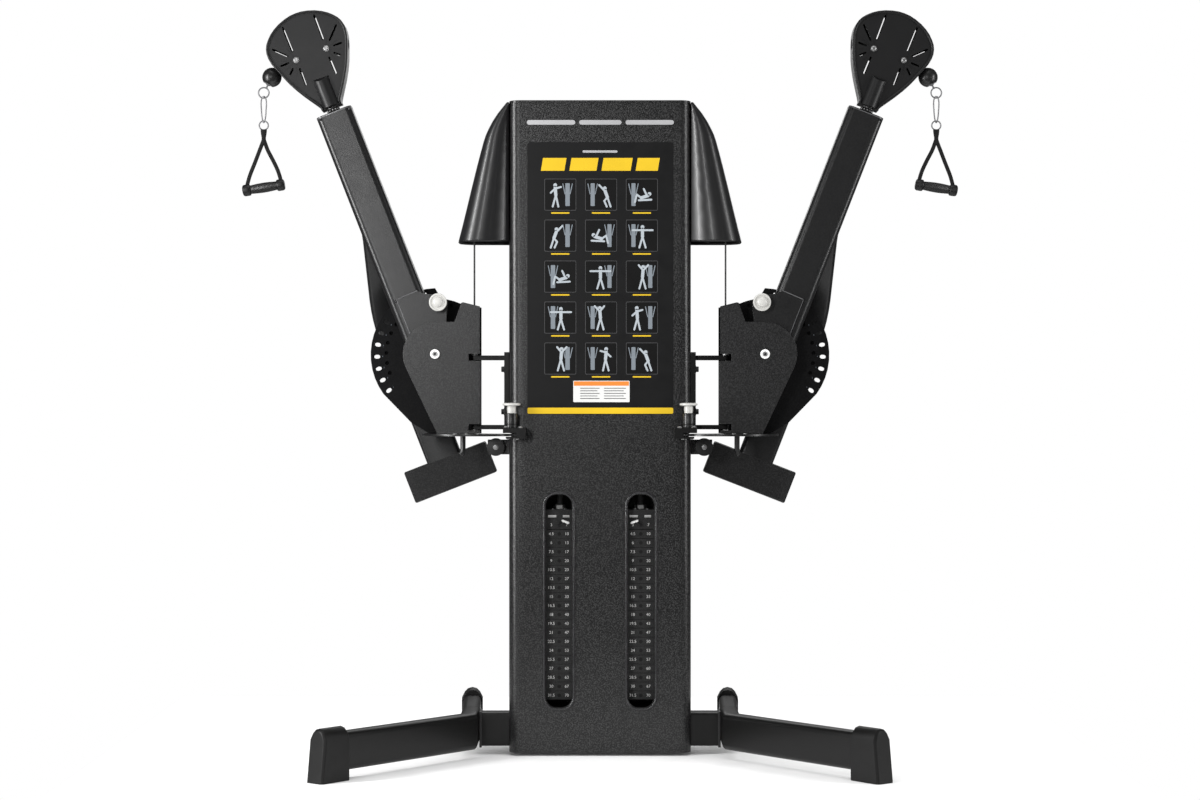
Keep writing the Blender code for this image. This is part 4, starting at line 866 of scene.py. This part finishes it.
def arm(hand, s):
    body = f"arm_{hand}"
    bm = bmesh.new()
    # the cheek's seam lines, painted light grey as an edge highlight
    tube(bm, [(-0.0175, -0.0462, 0.1848), (0.0150, -0.0462, 0.1838), (0.0445, -0.0462, 0.1828)], 0.0013, 8)
    tube(bm, [(0.0458, -0.0450, 0.1820), (0.0458, -0.0450, 0.1000), (0.0458, -0.0450, 0.0400)], 0.0008, 6)
    piece(f"cheek_seam_{hand}", bm, SEAM_HIGHLIGHT_GREY, body, side=s, place=leaned)
    bm = bmesh.new()
    bolt(bm, (0.0500, 0.1795), "y", -0.0378, -1, 0.0042, 0.0060)
    for x in (-0.026, 0.064):
        bolt(bm, (x, ARM_TOP - 0.009), "y", -0.0378, -1, 0.0034, 0.0018)
    piece(f"arm_screws_{hand}", bm, BOLT, body, side=s, place=leaned)
    bm = bmesh.new()
    outer = rounded(ARM_HALF_X + 0.0004, ARM_HALF_Y + 0.0004, 0.0194, 6, (ARM_X, 0.0))
    plate(bm, outer, "z", ARM_TOP - 0.0042, ARM_TOP - 0.0026)
    piece(f"arm_end_seam_{hand}", bm, SEAM_HIGHLIGHT_GREY, body, side=s, place=leaned)
    bm = bmesh.new()
    for low, high in ((0.7421, 0.7440), (0.7550, 0.7569)):
        lathe(bm, [(0.0137, low), (0.0180, low), (0.0188, low + 0.0006), (0.0188, high - 0.0006),
                   (0.0180, high), (0.0137, high)], "z", (ARM_X, 0.0), 36)
    for k in range(12):
        a = 2 * pi * k / 12
        ball(bm, (ARM_X + 0.0162 * cos(a), 0.0162 * sin(a), 0.7495), 0.0034, 12)
    piece(f"neck_bearing_{hand}", bm, ZINC, body, side=s, place=leaned)
    # the bent bar, drawn along the arm from (height, centre, front, back), and its slab with bolts through it
    stations = ((-0.290, 0.098, 0.1665, 0.2135), (0.110, 0.098, 0.166, 0.214),
                (0.138, 0.0965, 0.1635, 0.2125), (0.165, 0.093, 0.158, 0.208),
                (0.192, 0.0875, 0.1465, 0.1985), (0.220, 0.080, 0.132, 0.186),
                (0.380, 0.030, 0.050, 0.106), (0.395, 0.0262, 0.0425, 0.0975),
                (0.410, 0.023, 0.0387, 0.090), (0.470, 0.020, 0.0387, 0.052))
    bm = bmesh.new()
    rings = []
    for u, across, front, back in stations:
        thick = (back - front) / 2
        ring = rounded(0.0513, thick, min(0.0125, thick - 0.0005), 5, (across, (front + back) / 2))
        rings.append([(x, y, u) for x, y in ring])
    loft(bm, rings)
    piece(f"bent_bar_{hand}", bm, "frame_black", body, side=s, place=leaned,
          replaces=(f"counterweight_{hand}",), sharp=50.0)
    bm = bmesh.new()
    slab = ((0.1155, 0.0445, 0.087, 0.1662), (0.1165, 0.0455, 0.087, 0.1668), (0.1255, 0.0478, 0.097, 0.1840),
            (0.1258, 0.0480, 0.097, 0.1860), (0.1258, 0.0480, 0.097, 0.2560), (0.1200, 0.0420, 0.097, 0.2640))
    loft(bm, [[(x, y, z) for x, z in rounded(wide, tall, 0.005, 4, (middle, SLAB_MIDDLE))][::-1]
              for wide, tall, middle, y in slab])
    piece(f"slab_{hand}", bm, SLAB, body, side=s, place=leaned, bevel=0.0010)
    bm = bmesh.new()
    for x in (0.030, 0.164):
        bolt(bm, (x, SLAB_MIDDLE), "y", 0.2640, 1, 0.0085, 0.0060, hexed=True, washer=0.0125)
    piece(f"slab_bolts_{hand}", bm, BOLT, body, side=s, place=leaned)


# ---------------------------------------------------------------- head, cable stop and handle


def head_outline(inset):
    """The head's edge from its neck round to its neck, drawn in."""
    top = HEAD_SHAPE[-2]
    steps = (HEAD_SHAPE[0], *HEAD_SHAPE, (-top[0], top[1]))
    right = []
    for (xa, za), (x, z), (xb, zb) in zip(steps, steps[1:], steps[2:]):
        reach = hypot(xb - xa, zb - za)
        right.append((x - inset * (zb - za) / reach, z + inset * (xb - xa) / reach))
    right = smoothed(right)
    return [(ARM_X + x, z) for x, z in right] + [(ARM_X - x, z) for x, z in reversed(right[:-1])]


def head(hand, s):
    body = f"head_{hand}"
    bm = bmesh.new()
    for k in (-1, 1):
        for y, out in ((-HEAD_FACE, -1), (HEAD_FACE, 1)):
            bolt(bm, (ARM_X + k * AXLE_X, AXLES), "y", y, out, 0.0068, 0.0038, washer=0.0082)
    for y in (-0.0288, 0.0288):
        bolt(bm, (ARM_X - 0.017, NECK + 0.016), "y", y, -1 if y < 0 else 1, 0.0022, 0.0012)
    piece(f"axle_bolts_{hand}", bm, ZINC, body, side=s, place=leaned)
    # raised bosses round the axles and spokes between the slots
    bm = bmesh.new()
    for k in (-1, 1):
        for y0, y1 in ((-0.0293, -0.0284), (0.0284, 0.0293)):
            centre = (ARM_X + k * AXLE_X, AXLES)
            plate(bm, circle(centre, 0.0125, 28), "y", y0, y1)
            for x, z in ((0.010, 0.030), (0.031, 0.010), (0.030, -0.012), (0.010, -0.030)):
                start = (centre[0] + k * x * 0.40, centre[1] + z * 0.40)
                end = (centre[0] + k * x * 1.30, centre[1] + z * 1.30)
                plate(bm, capsule(start, end, 0.0009, 3), "y", y0, y1)
    piece(f"axle_bosses_{hand}", bm, "moulded_black", body, side=s, place=leaned)
    # a rounded rim on both faces, open at the neck
    bm = bmesh.new()
    for out in (-1, 1):
        rings = []
        for inset, high in ((0.0002, 0.0286), (0.0004, 0.0304), (0.0016, 0.0318), (0.0036, 0.0325),
                            (0.0058, 0.0318), (0.0078, 0.0300), (0.0082, 0.0284)):
            rings.append([(x, out * high, z) for x, z in head_outline(inset)])
        loops = [[bm.verts.new(p) for p in ring] for ring in rings]
        for near, far in zip(loops, loops[1:]):
            for i in range(len(near) - 1):
                face = (near[i], near[i + 1], far[i + 1], far[i])
                bm.faces.new(face if out > 0 else face[::-1])
    piece(f"head_rim_{hand}", bm, "moulded_black", body, side=s, place=leaned, sharp=50.0)
    # half-round boss over the neck, its upper end cut on a slant
    bm = bmesh.new()
    for out in (-1, 1):
        bend = arc((ARM_X, 0.0), 0.0246, 0, 180, 22)
        low, high = [], []
        for x, y in bend:
            depth = 0.0200 + y * 1.02
            low.append((x, out * depth, NECK + 0.0012))
            high.append((x, out * depth, NECK + 0.0885 - max(0.0, depth - 0.0280) * 0.62))
        loft(bm, [low, high] if out > 0 else [low[::-1], high[::-1]])
    piece(f"neck_boss_{hand}", bm, "moulded_black", body, side=s, place=leaned, sharp=40.0, bevel=0.0008)
    # the rubber ball and its crimp
    x, z = STOP_BALL
    centre = leaned(x, 0.0, z)
    top = Vector((RING_TOP[0], SWIVEL_Y, RING_TOP[1]))
    down = (top - centre).normalized()
    turn = down.to_track_quat("Z", "Y")

    def turned(bm, profile, steps):
        loft(bm, [[centre + turn @ Vector((max(r, TIP) * cos(a), max(r, TIP) * sin(a), h))
                   for a in (2 * pi * k / steps for k in range(steps))] for r, h in profile])

    bm = bmesh.new()
    turned(bm, ((0.0, -0.0272), (0.0055, -0.0268), (0.0120, -0.0246), (0.0180, -0.0207), (0.0232, -0.0146),
                (0.0264, -0.0072), (0.0273, 0.0), (0.0266, 0.0070), (0.0240, 0.0135), (0.0200, 0.0190),
                (0.0170, 0.0215), (0.0152, 0.0222), (0.0, 0.0222)), 36)
    piece(f"stop_ball_{hand}", bm, "rubber_black", body, side=s)
    bm = bmesh.new()
    turned(bm, ((0.0130, 0.0212), (0.0158, 0.0216), (0.0162, 0.0226), (0.0155, 0.0234), (0.0075, 0.0238),
                (0.0062, 0.0250), (0.0040, 0.0262), (0.0, 0.0262)), 32)
    tube(bm, [centre + down * 0.0240, centre + down * 0.0330], 0.0026, 14)
    piece(f"stop_crimp_{hand}", bm, "steel_bright", body, side=s)
    # cable from the ball, round the outer wheel and down towards the neck
    bm = bmesh.new()
    wrap = arc((ARM_X + AXLE_X, AXLES), 0.029, 59, 180, 24)
    points = [(x, 0.0, z)] + [(a, 0.0, b) for a, b in wrap] + [(ARM_X + 0.004, 0.0, NECK + 0.095)]
    tube(bm, points, 0.0024, 10)
    piece(f"head_cable_{hand}", bm, "cable_black", body, side=s, place=leaned,
          replaces=(f"cable_stop_{hand}",))


def handle(hand, s):
    x, z = RING_TOP
    y = SWIVEL_Y
    clip, grip = f"clip_{hand}", f"grip_{hand}"
    bm = bmesh.new()
    ring_of(bm, (x, z, y), 0.0148, 0.0020, "y", 44, 12)
    ring_of(bm, (x, RING_LOW_Z, y), 0.0128, 0.0019, "y", 40, 12)
    top, low = z - 0.0128, RING_LOW_Z + 0.0106
    tall = (top - low) / 2 + 0.0025
    loop = []
    for k in range(49):
        a = 2 * pi * k / 48
        wide = 0.0066 + 0.0022 * cos(a)
        loop.append((x + wide * sin(a) * (1.0 + 0.25 * abs(cos(a))), y, (top + low) / 2 + tall * cos(a)))
    tube(bm, loop, 0.0019, 12)
    tube(bm, [(x, y, top - 0.0030), (x + 0.0005, y, top + 0.0032)], 0.0042, 14)
    piece(f"snap_wire_{hand}", bm, "steel_bright", clip, side=s, replaces=(f"snap_hook_{hand}",))
    # webbing: a doubled neck through the ring, then a strap to each end of the grip
    fork = RING_LOW_Z - 0.048
    end_z = RING_LOW_Z - 0.150
    bm = bmesh.new()
    tube(bm, [(x, y, RING_LOW_Z - 0.0112), (x, y, RING_LOW_Z - 0.0150), (x, y, RING_LOW_Z - 0.0240),
              (x, y, RING_LOW_Z - 0.0340), (x, y, fork + 0.0050), (x, y, fork - 0.004)],
         [0.0084, 0.0090, 0.0080, 0.0062, 0.0060, 0.0072], 20, 0.55)
    for k in (-1, 1):
        drop = k * GRIP_SLANT
        line = [(0.0010, fork + 0.006), (0.0052, fork - 0.006), (0.0122, fork - 0.024),
                (0.0255, end_z + 0.048 - drop * 0.5), (0.0385, end_z + 0.018 - drop * 0.8),
                (0.0455, end_z - 0.004 - drop), (0.0478, end_z - 0.014 - drop)]
        tube(bm, [(x + k * across, y, high) for across, high in smoothed(line, 5)], 0.0056, 16, 0.42)
    piece(f"strap_{hand}", bm, "webbing_black", grip, side=s,
          replaces=(f"handle_strap_{hand}",), sharp=60.0)
    # the grip: a ribbed barrel between two domed caps
    ends = [Vector((x + k * GRIP_HALF, y, end_z - 0.026 - k * GRIP_SLANT)) for k in (-1, 1)]
    along = (ends[1] - ends[0]).normalized()
    total = (ends[1] - ends[0]).length
    up = Vector((-along.z, 0.0, along.x))

    def barrel(name, profile, finish):
        bm = bmesh.new()
        rings = []
        for t, r in profile:
            centre = ends[0] + along * t
            rings.append([centre + Vector((0.0, -1.0, 0.0)) * r * cos(a) + up * r * sin(a)
                          for a in (2 * pi * k / 36 for k in range(36))])
        loft(bm, rings)
        return piece(name, bm, finish, grip, side=s)

    cap = [(0.0002, 0.0040), (0.0004, 0.0090), (0.0014, 0.0128), (0.0036, 0.0154), (0.0070, 0.0164),
           (0.0180, 0.0165), (0.0210, 0.0160), (0.0226, 0.0148), (0.0230, 0.0120)]
    barrel(f"grip_cap_inner_{hand}", cap, "moulded_black")
    barrel(f"grip_cap_outer_{hand}", [(total - t, r) for t, r in reversed(cap)], "moulded_black")
    body = []
    count = 21
    for i in range(count * 2 + 1):
        t = 0.0225 + (total - 0.045) * i / (count * 2)
        swell = 0.0118 + 0.0022 * sin(pi * i / (count * 2))
        body.append((t, swell + (0.0004 if i % 2 else -0.0002)))
    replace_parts(barrel(f"grip_barrel_{hand}", body, "rubber_black"), f"handle_grip_{hand}")
    bm = bmesh.new()
    for t in (0.0125, total - 0.0125):
        lathe(bm, [(0.0, -0.0138), (0.0048, -0.0138), (0.0056, -0.0146), (0.0056, -0.0172), (0.0046, -0.0178),
                   (0.0, -0.0178)], "y", (0.0, 0.0), 20)
        bmesh.ops.translate(bm, vec=ends[0] + along * t, verts=[v for v in bm.verts if v.co.length < 0.05])
    piece(f"grip_plugs_{hand}", bm, SHADE_AND_PLUG_BLACK, grip, side=s)


# ---------------------------------------------------------------- assembly

studio()
carried_over()
placard()
windows()
plate_numbers()
tower_fittings()
for hand, s in SIDES:
    shroud(hand, s)
    base_fittings(hand, s)
    plungers(hand, s)
    selector(hand, s)
    carrier(hand, s)
    arm(hand, s)
    head(hand, s)
    handle(hand, s)
